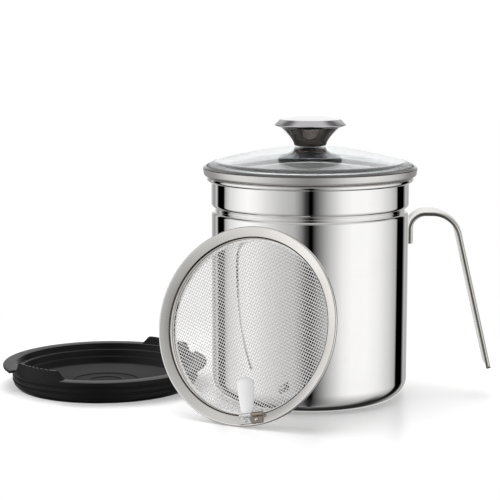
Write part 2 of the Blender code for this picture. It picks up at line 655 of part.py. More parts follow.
def make_lift_tab(parts, cutters, finishes, stance, ring):
    """The bracket with its rivets and pin, and the tab that folds on the pin."""
    bearing = TAB_BEARING - math.pi / 2
    place = Vector((HINGE_RADIUS * math.cos(bearing), HINGE_RADIUS * math.sin(bearing), HINGE_HEIGHT))
    hinge = empty("tab_hinge", Matrix.Translation(place) @ Matrix.Rotation(TAB_BEARING, 4, "Z"),
                  parts, stance)
    slope = empty("bracket_frame", Matrix.Rotation(-FLANGE_SLOPE, 4, "X"), parts, hinge)
    along_pin = Matrix.Rotation(math.pi / 2, 4, "Y")
    bore_radius = PIN_RADIUS + GAP

    def on_pin(centre):
        return Matrix.Translation((centre, 0.0, 0.0)) @ along_pin

    sheet_middle = -KNUCKLE_RADIUS + KNUCKLE_SINK + BRACKET_SHEET / 2
    flat = Matrix.Translation((0.0, -BRACKET_DEPTH / 2, sheet_middle))
    bracket = block("tab_bracket", (BRACKET_WIDTH, BRACKET_DEPTH, BRACKET_SHEET), flat,
                    finishes["satin"], parts, slope)
    tab_low = -TAB_KNUCKLE_OFFSET - TAB_KNUCKLE_LENGTH / 2 - GAP
    tab_high = -TAB_KNUCKLE_OFFSET + TAB_KNUCKLE_LENGTH / 2 + GAP
    for side, low, high in (("left", -BRACKET_WIDTH / 2, tab_low), ("right", tab_high, BRACKET_WIDTH / 2)):
        knuckle = rods("bracket_knuckle_" + side, KNUCKLE_RADIUS, high - low,
                       [on_pin((low + high) / 2)], cutters, slope)
        combine(bracket, knuckle, "UNION")
    notch_size = (tab_high - tab_low, 2 * (KNUCKLE_RADIUS + GAP), 2 * (KNUCKLE_RADIUS + GAP))
    notch = blocks("bracket_notch", notch_size,
                   [Matrix.Translation(((tab_low + tab_high) / 2, 0.0, 0.0))], cutters, slope)
    combine(bracket, notch, "DIFFERENCE")
    bore_length = BRACKET_WIDTH + CUT_OVERRUN
    combine(bracket, rods("bracket_bore", bore_radius, bore_length, [on_pin(0.0)], cutters, slope),
            "DIFFERENCE")

    flange_low = -KNUCKLE_RADIUS - BRACKET_CLEARANCE - RING_SHEET
    plate_high = -KNUCKLE_RADIUS + KNUCKLE_SINK + BRACKET_SHEET
    centres = [(-RIVET_SPACING / 2, "left"), (RIVET_SPACING / 2, "right")]
    hole_frames = [Matrix.Translation((x, -RIVET_SETBACK, flange_low)) for x, _ in centres]
    holes = rods("rivet_holes", RIVET_RADIUS + GAP, BRACKET_DEPTH, hole_frames, cutters, slope)
    combine(bracket, holes, "DIFFERENCE")
    combine(ring, holes, "DIFFERENCE")
    head_low = flange_low - GAP
    head_high = plate_high + GAP
    rivet = [(0.0, head_high + RIVET_HEAD_HEIGHT), (RIVET_HEAD_RADIUS, head_high + RIVET_HEAD_HEIGHT / 2),
             (RIVET_HEAD_RADIUS, head_high), (RIVET_RADIUS, head_high), (RIVET_RADIUS, head_low),
             (RIVET_HEAD_RADIUS, head_low), (RIVET_HEAD_RADIUS, head_low - RIVET_HEAD_HEIGHT),
             (0.0, head_low - RIVET_HEAD_HEIGHT)]
    for x, side in centres:
        made = turned("tab_rivet_" + side, rivet, finishes["satin"], parts, slope, FINE_STEPS)
        made.location = (x, -RIVET_SETBACK, 0.0)
    rod("tab_pin", PIN_RADIUS, BRACKET_WIDTH, on_pin(0.0), finishes["satin"], parts, hinge)

    tab_middle = -KNUCKLE_RADIUS + KNUCKLE_SINK + TAB_SHEET / 2
    tab = plate("lift_tab", tab_outline(), TAB_SHEET, tab_middle, finishes["tab"], parts, hinge)
    barrel = rods("tab_knuckle", KNUCKLE_RADIUS, TAB_KNUCKLE_LENGTH, [on_pin(-TAB_KNUCKLE_OFFSET)],
                  cutters, hinge)
    combine(tab, barrel, "UNION")
    combine(tab, rods("tab_bore", bore_radius, TAB_WIDTH + CUT_OVERRUN, [on_pin(-TAB_KNUCKLE_OFFSET)],
                      cutters, hinge), "DIFFERENCE")


def store_outline():
    """Section of the storage lid: floor rings, stepped inner wall, flange, ribs and base."""
    outline = [(0.0, STORE_FLOOR)]
    half = STORE_RING_WIDTH / 2
    for radius in STORE_RING_RADII:
        outline += [(radius - STORE_RING_WIDTH, STORE_FLOOR),
                    (radius - half, STORE_FLOOR + STORE_RING_HEIGHT),
                    (radius + half, STORE_FLOOR + STORE_RING_HEIGHT),
                    (radius + STORE_RING_WIDTH, STORE_FLOOR)]
    inner = STORE_PLUG_RADIUS - STORE_WALL
    rise = (STORE_HEIGHT - STORE_FLOOR) / STORE_RIB_COUNT
    radius = inner - (STORE_RIB_COUNT - 1) * STORE_STEP
    height = STORE_FLOOR
    outline.append((radius - STORE_STEP, height))
    for step in range(STORE_RIB_COUNT):
        outline.append((radius - STORE_STEP / 4, height + STORE_STEP / 4))
        height += rise
        if step < STORE_RIB_COUNT - 1:
            outline.append((radius, height))
        radius += STORE_STEP
    top = STORE_HEIGHT
    outline += [(inner, top), (STORE_RADIUS - STORE_FLANGE_ROUND, top),
                (STORE_RADIUS, top - STORE_FLANGE_ROUND), (STORE_RADIUS, top - STORE_FLANGE),
                (STORE_PLUG_RADIUS, top - STORE_FLANGE)]
    span = (top - STORE_FLANGE - STORE_BASE_CORNER) / STORE_RIB_COUNT
    groove = STORE_PLUG_RADIUS - STORE_GROOVE_DEPTH
    for rib in range(1, STORE_RIB_COUNT):
        line = top - STORE_FLANGE - rib * span
        outline += [(STORE_PLUG_RADIUS, line + STORE_GROOVE_DEPTH), (groove, line),
                    (STORE_PLUG_RADIUS, line - STORE_GROOVE_DEPTH)]
    outline += [(STORE_PLUG_RADIUS - STORE_GROOVE_DEPTH, STORE_BASE_CORNER),
                (STORE_BASE_RADIUS, 0.0), (0.0, 0.0)]
    return outline


def grip_prism(name, foot_half, top_half, low, high, group, parent):
    """A bar across the whole lid, narrower at its top, that picks out the two grips."""
    shape = bmesh.new()
    middle = (low + high) / 2
    size = (2 * (STORE_RADIUS + CUT_OVERRUN), 2 * foot_half, high - low)
    bmesh.ops.create_cube(shape, size=1.0, matrix=Matrix.Translation((0.0, 0.0, middle))
                          @ Matrix.Diagonal((*size, 1.0)))
    for vert in shape.verts:
        if vert.co.z > middle:
            vert.co.y *= top_half / foot_half
    mesh = bpy.data.meshes.new(name)
    shape.to_mesh(mesh)
    shape.free()
    made = hide_cutter(add_object(name, mesh, None, group, parent))
    made.rotation_euler = (0.0, 0.0, GRIP_BEARING)
    return made


def make_storage_lid(parts, cutters, plastic):
    """The moulded storage lid with its two grips in place of the flange."""
    away = POT_RADIUS + STORE_SPACING + STORE_RADIUS
    place = (-away * math.cos(STORE_BEARING), away * math.sin(STORE_BEARING), 0.0)
    centre = empty("storage_lid_axis", Matrix.Translation(place), parts)
    lid = turned("storage_lid", store_outline(), plastic, parts, centre)
    flange_low = STORE_HEIGHT - STORE_FLANGE
    foot_half = GRIP_RADIUS * math.sin(GRIP_FOOT_SPAN)
    top_half = GRIP_RADIUS * math.sin(GRIP_TOP_SPAN)
    grip_top = STORE_HEIGHT + GRIP_HEIGHT
    wide = grip_prism("flange_span", foot_half, foot_half, flange_low - CUT_OVERRUN,
                      STORE_HEIGHT + CUT_OVERRUN, cutters, centre)
    strip = washer_outline(GRIP_RADIUS, STORE_RADIUS + CUT_OVERRUN, flange_low - CUT_OVERRUN / 2,
                           STORE_HEIGHT + CUT_OVERRUN / 2)
    strips = hide_cutter(turned("flange_strips", strip, None, cutters, centre, closed=True))
    combine(strips, wide, "INTERSECT")
    combine(lid, strips, "DIFFERENCE")
    slanted = grip_prism("grip_span", foot_half, top_half, flange_low, grip_top, cutters, centre)
    wall = washer_outline(GRIP_RADIUS - GRIP_WALL, GRIP_RADIUS, flange_low - CUT_OVERRUN,
                          grip_top + CUT_OVERRUN)
    grips = hide_cutter(turned("grip_walls", wall, None, cutters, centre, closed=True))
    combine(grips, slanted, "INTERSECT")
    combine(lid, grips, "UNION")
    frames = []
    pitch = 2 * GRIP_TOP_SPAN / (GRIP_GROOVES + 1)
    for index in range(GRIP_GROOVES):
        angle = GRIP_BEARING + (index + 1) * pitch - GRIP_TOP_SPAN
        frames.append(Matrix.Rotation(angle, 4, "Z") @ Matrix.Translation((0.0, 0.0, grip_top)))
    groove = (2 * (STORE_RADIUS + CUT_OVERRUN), GRIP_GROOVE_WIDTH, 2 * GRIP_GROOVE_DEPTH)
    combine(lid, blocks("grip_grooves", groove, frames, cutters, centre), "DIFFERENCE")


def build():
    """Make every piece of the container."""
    clear_scene()
    parts = collection("bacon_grease_container")
    cutters = collection("cutters")
    finishes = {
        "steel": material("polished_steel", (0.80, 0.79, 0.78), 0.06, 1.0),
        "satin": material("satin_steel", (0.74, 0.72, 0.69), 0.30, 1.0),
        "dark": material("dark_steel", (0.20, 0.19, 0.18), 0.15, 1.0),
        "glass": material("lid_glass", (0.82, 0.88, 0.90), 0.02, 0.0),
        "rubber": material("black_silicone", (0.03, 0.03, 0.03), 0.55, 0.0),
        "brass": material("brass", (0.72, 0.55, 0.25), 0.30, 1.0),
        "wire": material("steel_wire", (0.62, 0.62, 0.62), 0.35, 1.0),
        "tab": material("bright_steel", (0.86, 0.86, 0.88), 0.18, 1.0),
        "plastic": material("black_plastic", (0.02, 0.02, 0.022), 0.45, 0.0),
    }
    make_pot(parts, finishes["steel"], finishes["satin"])
    lid = empty("glass_lid_axis", Matrix.Translation((0.0, 0.0, 0.0)), parts)
    make_glass_lid(parts, finishes, lid)
    stance = empty("strainer_stance", strainer_stance(), parts)
    ring = make_strainer(parts, cutters, finishes, stance)
    make_lift_tab(parts, cutters, finishes, stance, ring)
    make_storage_lid(parts, cutters, finishes["plastic"])


build()
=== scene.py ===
"""Looks of the bacon grease container: finishes, fine forms, studio light and camera."""

from math import acos, asin, atan2, cos, degrees, hypot, pi, radians, sin, sqrt, tan, tau

import bmesh
import bpy
from mathutils import Matrix, Vector


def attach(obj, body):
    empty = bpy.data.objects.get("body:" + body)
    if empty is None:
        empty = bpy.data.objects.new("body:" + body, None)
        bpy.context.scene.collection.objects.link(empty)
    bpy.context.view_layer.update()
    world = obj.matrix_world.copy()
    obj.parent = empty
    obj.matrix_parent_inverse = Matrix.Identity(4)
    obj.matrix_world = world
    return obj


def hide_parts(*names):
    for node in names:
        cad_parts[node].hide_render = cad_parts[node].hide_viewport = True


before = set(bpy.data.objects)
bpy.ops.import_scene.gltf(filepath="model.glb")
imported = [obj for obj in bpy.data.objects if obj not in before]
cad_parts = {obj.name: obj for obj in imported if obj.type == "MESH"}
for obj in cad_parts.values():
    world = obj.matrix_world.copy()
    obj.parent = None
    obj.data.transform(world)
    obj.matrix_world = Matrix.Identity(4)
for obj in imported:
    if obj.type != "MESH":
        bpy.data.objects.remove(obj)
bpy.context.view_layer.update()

# How finely round forms are turned
LARGE_TURN = 176
MIDDLE_TURN = 96
SMALL_TURN = 40
MERGE = 0.000001
GAP = 0.0003
SEED_SIZE = 0.001
TIGHT_FILLET = 0.0002
SMALL_FILLET = 0.0003
MIDDLE_FILLET = 0.0004
BROAD_FILLET = 0.0005
LARGE_FILLET = 0.0006
LEVEL_FACE = 0.9
TILTED_FACE = 0.3

# Pot
POT_RADIUS = 0.0600
POT_WALL = 0.0006
POT_BAND_RADIUS = 0.0602
POT_HEIGHT = 0.1349
POT_BASE_CORNER = 0.0120
POT_ROLL_INNER = 0.0010
BEAD_HEIGHT = 0.1150
BEAD_DEPTH = 0.0024
BEAD_SHOULDER = 0.0030
BEAD_VALLEY = 0.0010

# Handle
STRAP_WIDTH = 0.0245
STRAP_THICKNESS = 0.0024
STRAP_EDGE = 0.0007
STRAP_END_RADIUS = 0.0035
STRAP_STUB_FOOT = 0.0950
STRAP_CREST = 0.1142
STRAP_INNER_BEND = 0.0095
STRAP_TOP_RUN = 0.0039
STRAP_OUTER_BEND = 0.0165
STRAP_LEG_END = 0.0180
STRAP_LEG_SPLAY = radians(13.1)
STRAP_LEG_PARTS = 6
STRAP_RULING = 0.12
STRAP_END_SHARES = (0.18, 0.34, 0.48, 0.61, 0.72, 0.82, 0.90, 0.96, 0.99, 1.0)

# Glass lid
GLASS_RADIUS = 0.0635
GLASS_THICKNESS = 0.0040
GLASS_SPHERE = 0.1639
GLASS_CROWN_RADIUS = 0.0360
GLASS_SHOULDER_WIDTH = 0.0065
GLASS_SHOULDER_BEND = 0.0094
GLASS_EDGE_HEIGHT = 0.0028
GLASS_EDGE_GRIND = 0.0006
GLASS_HOLE = 0.0027
BAND_SHEET = 0.0005
BAND_RADIUS = 0.0650
BAND_FOOT_RADIUS = 0.0645
BAND_LIP = 0.0006
BAND_CORNER = 0.0008
BAND_FOOT_BEND = 0.0016
SKIRT_RADIUS = 0.0589
SKIRT_DEPTH = 0.0058
LID_SEAT = POT_HEIGHT + GAP
GLASS_FOOT = LID_SEAT + BAND_SHEET + GAP
GLASS_EDGE_TOP = GLASS_FOOT + GLASS_EDGE_HEIGHT
GLASS_SHOULDER_RADIUS = GLASS_RADIUS - GLASS_SHOULDER_WIDTH
GLASS_SLOPE = asin(GLASS_CROWN_RADIUS / GLASS_SPHERE)
GLASS_EDGE_SLOPE = asin(sin(GLASS_SLOPE) + GLASS_SHOULDER_WIDTH / GLASS_SHOULDER_BEND)
GLASS_SHOULDER_CENTRE = (GLASS_SHOULDER_RADIUS - GLASS_SHOULDER_BEND * sin(GLASS_SLOPE),
                         GLASS_EDGE_TOP - GLASS_SHOULDER_BEND * cos(GLASS_EDGE_SLOPE))
GLASS_APEX = (GLASS_SHOULDER_CENTRE[1] + GLASS_SHOULDER_BEND * cos(GLASS_SLOPE)
              + (GLASS_SHOULDER_RADIUS - GLASS_CROWN_RADIUS) * tan(GLASS_SLOPE)
              + GLASS_SPHERE * (1 - cos(GLASS_SLOPE)))
GLASS_UNDERSIDE = GLASS_APEX - GLASS_THICKNESS

# Knob and its hardware
KNOB_BASE = GLASS_APEX + GAP
STEM_HEIGHT = 0.0110
STEM_WAIST_RADIUS = 0.0099
STEM_FOOT_RADIUS = 0.0090
STEM_TOP_RADIUS = 0.0178
STEM_FOOT_ROUND = 0.0008
STEM_FLARE_POWER = 1.45
STEM_FLARE_STEPS = 22
STEM_TOP = KNOB_BASE + STEM_HEIGHT
SPIGOT_RADIUS = 0.0100
SPIGOT_HEIGHT = 0.0012
CAP_RADIUS = 0.0220
CAP_TOP_RADIUS = 0.0186
CAP_UNDER_BEVEL = 0.0012
CAP_BEVEL_HEIGHT = 0.0036
CAP_DOME = 0.0019
CAP_CROWN_MARGIN = 0.0005
CAP_CROWN_STEPS = 16
INSERT_RADIUS = 0.0036
INSERT_LENGTH = 0.0070
SEAL_RADIUS = 0.0063
SEAL_THICKNESS = 0.0008
GASKET_RADIUS = 0.0088
CUP_SHEET = 0.0008
CUP_FLAT_RADIUS = 0.0084
CUP_RIM_RADIUS = 0.0116
CUP_DEPTH = 0.0030
SCREW_RADIUS = 0.0021
SCREW_HEAD_RADIUS = 0.0044
SCREW_HEAD_HEIGHT = 0.0031
SCREW_TIP_MARGIN = 0.0010
SCREW_TIP_CHAMFER = 0.0004
SCREW_SLOT = (0.0040, 0.0008, 0.0022)
SEAL_SEAT = KNOB_BASE + SEAL_THICKNESS + GAP
INSERT_FOOT = SEAL_SEAT + GAP
CUP_TOP = GLASS_UNDERSIDE - GAP - SEAL_THICKNESS - GAP
SCREW_HEAD_TOP = CUP_TOP - CUP_SHEET - GAP

# Strainer
RING_RADIUS = 0.0576
RING_SHEET = 0.0005
RING_EDGE_ROUND = 0.0008
RING_LIP = 0.0008
RING_FLANGE_INNER = 0.0517
RING_DISH = 0.0020
RING_WALL_RADIUS = 0.0510
RING_WALL_DEPTH = 0.0031
RING_FOOT = 0.0006
RING_CROWN_SHARE = 0.35
RING_BEND_MARGIN = 0.0004
NET_THICKNESS = 0.0006
NET_TOP = -RING_DISH - RING_WALL_DEPTH - RING_SHEET - GAP
CLAMP_SHEET = 0.0005
CLAMP_HEIGHT = 0.0036
CLAMP_FOOT = 0.0022
CLAMP_CUT = Vector((0.77, -0.64, 0.0))
CLAMP_RADIUS = RING_WALL_RADIUS + RING_SHEET + GAP + CLAMP_SHEET
CLAMP_FACE = NET_TOP - NET_THICKNESS - GAP - CLAMP_SHEET
WARP_PITCH = 0.00143
WEFT_PITCH = 0.00168
WEAVE_WIRE = NET_THICKNESS / 4
WEAVE_HALF_WIDTH = 0.00024
WEAVE_REACH = 0.0507
WEAVE_TURN = radians(-18.0)
STRAINER_LEAN = radians(15.5)
STRAINER_BEARING = radians(26.9)

# Lift tab
TAB_BEARING = radians(12.8)
TAB_LENGTH = 0.0216
TAB_WIDTH = 0.0112
TAB_SHEET = 0.0006
TAB_KNUCKLE_LENGTH = 0.0060
TAB_KNUCKLE_OFFSET = 0.0028
TAB_EDGE_BEVEL = 0.00018
TAB_STATIONS = ((0.02, 0.62), (0.05, 0.74), (0.20, 0.79), (0.36, 0.85), (0.52, 0.91), (0.66, 0.96), (0.78, 1.0),
                (0.83, 0.97), (0.88, 0.91), (0.92, 0.80), (0.95, 0.66), (0.98, 0.48), (1.0, 0.34))
KNUCKLE_RADIUS = 0.0013
KNUCKLE_SINK = 0.0001
PIN_RADIUS = 0.0005
BRACKET_SHEET = 0.0006
BRACKET_CLEARANCE = 0.0005
RIVET_RADIUS = 0.0006
RIVET_HEAD_RADIUS = 0.0011
RIVET_HEAD_HEIGHT = 0.0006
RIVET_SPACING = 0.0070
RIVET_SETBACK = 0.0031
FLANGE_SLOPE = atan2(RING_DISH, RING_RADIUS - RING_EDGE_ROUND - RING_FLANGE_INNER)
HINGE_LIFT = BRACKET_CLEARANCE + KNUCKLE_RADIUS
HINGE_RADIUS = RING_FLANGE_INNER - HINGE_LIFT * sin(FLANGE_SLOPE)
HINGE_HEIGHT = -RING_DISH + HINGE_LIFT * cos(FLANGE_SLOPE)

# Storage lid
STORE_RADIUS = 0.0642
STORE_HEIGHT = 0.0143
STORE_FLANGE = 0.0016
STORE_PLUG_RADIUS = 0.0584
STORE_GROOVE_DEPTH = 0.0009
STORE_RIB_COUNT = 3
STORE_BASE_CORNER = 0.0024
STORE_BASE_RADIUS = 0.0555
STORE_WALL = 0.0022
STORE_FLOOR = 0.0016
STORE_STEP = 0.0020
STORE_RING_RADII = (0.0107, 0.0214)
STORE_RING_HEIGHT = 0.0005
STORE_RING_WIDTH = 0.0010
STORE_OVERRUN = 0.002
STORE_AWAY = POT_RADIUS + 0.0065 + STORE_RADIUS
STORE_BEARING = radians(9.7)
STORE_PLACE = Vector((-STORE_AWAY * cos(STORE_BEARING), STORE_AWAY * sin(STORE_BEARING), 0.0))
GRIP_HEIGHT = 0.0052
GRIP_WALL = 0.0024
GRIP_RADIUS = 0.0597
GRIP_BEARING = radians(50.5)
GRIP_TOP_SPAN = radians(14.0)
GRIP_FOOT_SPAN = radians(22.0)
GRIP_GROOVES = 7
GRIP_GROOVE_WIDTH = 0.0014
GRIP_GROOVE_DEPTH = 0.0006

# What the finishes share
FILM_SPAN = (0.42, 0.72)
FILM_SHARE = 0.6
GLASS_TINT = (0.93, 0.96, 0.97)
# Painted shade on the outer edge of the glass
GLASS_RIM_PAINTED_SHADE = (0.06, 0.065, 0.07)
GLASS_HANDLING = 0.012
GLASS_DULLNESS = 0.30
GLASS_DULL_SPAN = (GLASS_SHOULDER_RADIUS - 0.0010, GLASS_SHOULDER_RADIUS + 0.0020)
GLASS_PAINTED_SHADE_SPAN = (GLASS_RADIUS - 0.0022, GLASS_RADIUS - 0.0016)
# Painted highlight on the bracket's strip, up to a slanted line
FACET_EDGE = -0.0026
FACET_SLANT = 0.6
FACET_BLUR = 0.0002
FACET_HIGHLIGHT_COLOUR = (1.0, 1.0, 0.99)


def only(piece):
    """Select one object and make it the active one."""
    bpy.ops.object.select_all(action="DESELECT")
    piece.select_set(True)
    bpy.context.view_layer.objects.active = piece


def started(adder, name, **settings):
    """Add an object with one of Blender's add tools, and name it and its data."""
    bpy.ops.object.select_all(action="DESELECT")
    adder(**settings)
    piece = bpy.context.object
    piece.name = name
    piece.data.name = name
    return piece


def select_whole():
    """Select the whole mesh in edit mode."""
    bpy.ops.mesh.select_all(action="SELECT")


def in_edit(mode="VERT"):
    """Enter edit mode with everything selected."""
    bpy.ops.object.mode_set(mode="EDIT")
    bpy.ops.mesh.select_mode(type=mode)
    select_whole()


def out_of_edit():
    """Leave edit mode."""
    bpy.ops.object.mode_set(mode="OBJECT")


def weld():
    """Merge the points that meet, turn the faces outwards and leave edit mode."""
    select_whole()
    bpy.ops.mesh.remove_doubles(threshold=MERGE)
    bpy.ops.mesh.normals_make_consistent(inside=False)
    out_of_edit()


def extrude(step):
    """Extrude what is selected by a step."""
    bpy.ops.mesh.extrude_region_move(TRANSFORM_OT_translate={"value": step})


def stretch(x, y, z):
    """Scale what is selected."""
    bpy.ops.transform.resize(value=(x, y, z))


def pick(piece, kind, test):
    """Select only those vertices, edges or faces of a mesh in edit mode that pass a test."""
    bpy.ops.mesh.select_mode(type={"verts": "VERT", "edges": "EDGE", "faces": "FACE"}[kind])
    bpy.ops.mesh.select_all(action="DESELECT")
    shape = bmesh.from_edit_mesh(piece.data)
    for part in getattr(shape, kind):
        if test(part):
            part.select_set(True)
    shape.select_flush_mode()
    bmesh.update_edit_mesh(piece.data)


def apply_modifier(piece, kind, **settings):
    """Add a modifier to a piece, set it up and apply it."""
    only(piece)
    bpy.ops.object.modifier_add(type=kind)
    step = piece.modifiers[-1]
    for key, value in settings.items():
        setattr(step, key, value)
    bpy.ops.object.modifier_apply(modifier=step.name)


def combine(piece, other, operation):
    """Cut a piece with another, or join them, and remove the other."""
    apply_modifier(piece, "BOOLEAN", operation=operation, object=other, solver="EXACT")
    only(other)
    bpy.ops.object.delete()


def place(piece, matrix):
    """Move a piece into a frame, with its place in its mesh."""
    only(piece)
    piece.matrix_world = matrix @ piece.matrix_world
    bpy.ops.object.transform_apply(location=True, rotation=True, scale=True)


def rod(name, radius, length, matrix, flat=1.0):
    """A round bar along the X axis of a frame, flattened by a share."""
    bar = started(bpy.ops.mesh.primitive_cylinder_add, name, vertices=SMALL_TURN, radius=radius, depth=length)
    in_edit("FACE")
    stretch(flat, 1.0, 1.0)
    out_of_edit()
    place(bar, matrix @ ALONG_PIN)
    return bar


def arc(centre, radius, start, end, count):
    """Points along an arc, with its angles in degrees."""
    points = []
    for step in range(count + 1):
        angle = radians(start + (end - start) * step / count)
        points.append((centre[0] + radius * cos(angle), centre[1] + radius * sin(angle)))
    return points


def low_dome(radius, base, rise, angles):
    """Points over a dome that is lower than a half ball, at angles in degrees."""
    return [(radius * cos(radians(angle)), base + rise * sin(radians(angle))) for angle in angles]


def rounded(corners, count=4):
    """Points along a line of (radius, height, fillet) corners."""
    points = []
    last = len(corners) - 1
    for index, (x, z, fillet) in enumerate(corners):
        if index in (0, last) or fillet == 0.0:
            points.append((x, z))
            continue
        here = Vector((x, z))
        back = (Vector(corners[index - 1][:2]) - here).normalized()
        ahead = (Vector(corners[index + 1][:2]) - here).normalized()
        half = back.angle(ahead) / 2
        reach = fillet / tan(half)
        centre = here + (back + ahead).normalized() * (fillet / sin(half))
        first = here + back * reach - centre
        swing = first.angle_signed(here + ahead * reach - centre)
        for step in range(count + 1):
            turn = Matrix.Rotation(-swing * step / count, 2)
            points.append(tuple(centre + turn @ first))
    return points


def lathe(name, outline, turn=LARGE_TURN, closed=False):
    """Draw an outline of (radius, height) points by extrusion and spin it about Z."""
    piece = started(bpy.ops.mesh.primitive_plane_add, name, size=SEED_SIZE)
    in_edit()
    bpy.ops.mesh.merge(type="CENTER")
    at = Vector((0.0, 0.0, 0.0))
    for index, (radius, height) in enumerate(outline):
        step = Vector((radius, 0.0, height)) - at
        if index == 0:
            bpy.ops.transform.translate(value=step)
        else:
            extrude(step)
        at += step
    if closed:
        pick(piece, "verts", lambda vert: len(vert.link_edges) == 1)
        bpy.ops.mesh.edge_face_add()
    select_whole()
    bpy.ops.mesh.spin(steps=turn, angle=tau, center=(0.0, 0.0, 0.0), axis=(0.0, 0.0, 1.0))
    weld()
    return piece


def turned_sheet(name, outline, thickness, turn=LARGE_TURN, level=False):
    """Spin an outline into a sheet whose broadest face looks outwards, or up if the sheet is level."""
    piece = lathe(name, outline, turn)
    broadest = max(piece.data.polygons, key=lambda face: face.area)
    if (broadest.normal.z if level else broadest.normal.xy.dot(broadest.center.xy)) < 0.0:
        only(piece)
        in_edit("FACE")
        bpy.ops.mesh.flip_normals()
        out_of_edit()
    apply_modifier(piece, "SOLIDIFY", thickness=thickness, offset=-1.0, use_even_offset=True)
    return piece


def dome(radius, apex, sphere):
    """Height of a dome at a radius."""
    return apex - sphere + sqrt(sphere ** 2 - radius ** 2)


def strainer_frame():
    """Where the strainer stands: its lip on the table, its clamp ring against the pot."""
    lip = RING_EDGE_ROUND + RING_LIP
    away = (POT_RADIUS + GAP + CLAMP_RADIUS * sin(STRAINER_LEAN)
            - CLAMP_FACE * cos(STRAINER_LEAN))
    height = RING_RADIUS * cos(STRAINER_LEAN) + lip * sin(STRAINER_LEAN)
    outward = Vector((-sin(STRAINER_BEARING), -cos(STRAINER_BEARING), 0.0))
    face = outward * cos(STRAINER_LEAN) + Vector((0.0, 0.0, sin(STRAINER_LEAN)))
    up = Vector((0.0, 0.0, cos(STRAINER_LEAN))) - outward * sin(STRAINER_LEAN)
    turn = Matrix((up.cross(face), up, face)).transposed().to_4x4()
    return Matrix.Translation(outward * away + Vector((0.0, 0.0, height))) @ turn


STANCE = strainer_frame()
HINGE_AT = TAB_BEARING - pi / 2
HINGE = (STANCE @ Matrix.Translation((HINGE_RADIUS * cos(HINGE_AT), HINGE_RADIUS * sin(HINGE_AT), HINGE_HEIGHT))
         @ Matrix.Rotation(TAB_BEARING, 4, "Z"))
BRACKET = HINGE @ Matrix.Rotation(-FLANGE_SLOPE, 4, "X")
ALONG_PIN = Matrix.Rotation(pi / 2, 4, "Y")
TAB_MIDDLE = Matrix.Translation((-TAB_KNUCKLE_OFFSET, 0.0, 0.0))


# Finishes

def add(tree, kind, values=None, **settings):
    """Add a shader node, set it up, and link or set its inputs."""
    made = tree.nodes.new("ShaderNode" + kind)
    for key, value in settings.items():
        setattr(made, key, value)
    for key, value in (values or {}).items():
        if isinstance(value, bpy.types.NodeSocket):
            tree.links.new(value, made.inputs[key])
        else:
            made.inputs[key].default_value = value
    return made


def maths(tree, operation, *values):
    """The result of a sum on numbers and sockets."""
    return add(tree, "Math", dict(enumerate(values)), operation=operation).outputs[0]


def ranged(tree, value, start, end, low=0.0, high=1.0, kind="LINEAR"):
    """A value that runs from low to high between a start and an end."""
    return add(tree, "MapRange", {"Value": value, "From Min": start, "From Max": end, "To Min": low, "To Max": high},
               interpolation_type=kind).outputs[0]


def eased(tree, value, start, end):
    """A mask that rises softly between a start and an end."""
    return ranged(tree, value, start, end, kind="SMOOTHSTEP")


def blend(tree, mask, first, second):
    """A colour that goes from the first to the second with a mask."""
    return add(tree, "Mix", {0: mask, 6: first, 7: second}, data_type="RGBA").outputs[2]


def shared_effect(name, inputs, *outputs):
    """A node group with named sockets, and its input and output nodes."""
    group = bpy.data.node_groups.new(name, "ShaderNodeTree")
    group.interface.new_socket(name="Vector", in_out="INPUT", socket_type="NodeSocketVector")
    for label, value in inputs.items():
        group.interface.new_socket(name=label, in_out="INPUT", socket_type="NodeSocketFloat").default_value = value
    for label in outputs:
        group.interface.new_socket(name=label, in_out="OUTPUT", socket_type="NodeSocketFloat")
    return group, group.nodes.new("NodeGroupInput").outputs, group.nodes.new("NodeGroupOutput").inputs


def turned_grain():
    """Hair lines that run round an axis, as a lathe, a spinning or a polishing wheel leaves them."""
    group, given, result = shared_effect("turned_grain", {"Lines": 900.0, "Breaks": 3.0}, "Mask")
    x, y, z = add(group, "SeparateXYZ", {0: given["Vector"]}).outputs
    radius = maths(group, "SQRT", maths(group, "MULTIPLY_ADD", y, y, maths(group, "MULTIPLY", x, x)))
    vector = add(group, "CombineXYZ", {
        0: maths(group, "MULTIPLY", radius, given["Lines"]),
        1: maths(group, "MULTIPLY", maths(group, "ARCTAN2", y, x), given["Breaks"]),
        2: maths(group, "MULTIPLY", z, given["Lines"])})
    noise = add(group, "TexNoise", {"Vector": vector.outputs[0], "Scale": 1.0, "Detail": 3.0, "Roughness": 0.62})
    group.links.new(noise.outputs[0], result["Mask"])
    return group


def drawn_grain():
    """Fine lines along one direction, as a drawn or brushed strip has them."""
    group, given, result = shared_effect("drawn_grain", {"Across": 2600.0, "Along": 35.0}, "Mask")
    scale = add(group, "CombineXYZ", {0: given["Across"], 1: given["Across"], 2: given["Along"]})
    vector = add(group, "VectorMath", {0: given["Vector"], 1: scale.outputs[0]}, operation="MULTIPLY")
    noise = add(group, "TexNoise", {"Vector": vector.outputs[0], "Scale": 1.0, "Detail": 2.0, "Roughness": 0.55})
    group.links.new(noise.outputs[0], result["Mask"])
    return group


def handled_film():
    """Soft clouds of polish and handling that change how a surface shines."""
    group, given, result = shared_effect("handled_film", {"Size": 28.0}, "Mask")
    cloud = add(group, "TexNoise", {"Vector": given["Vector"], "Scale": given["Size"], "Detail": 5.0,
                                    "Roughness": 0.6, "Distortion": 0.4})
    group.links.new(eased(group, cloud.outputs[0], *FILM_SPAN), result["Mask"])
    return group


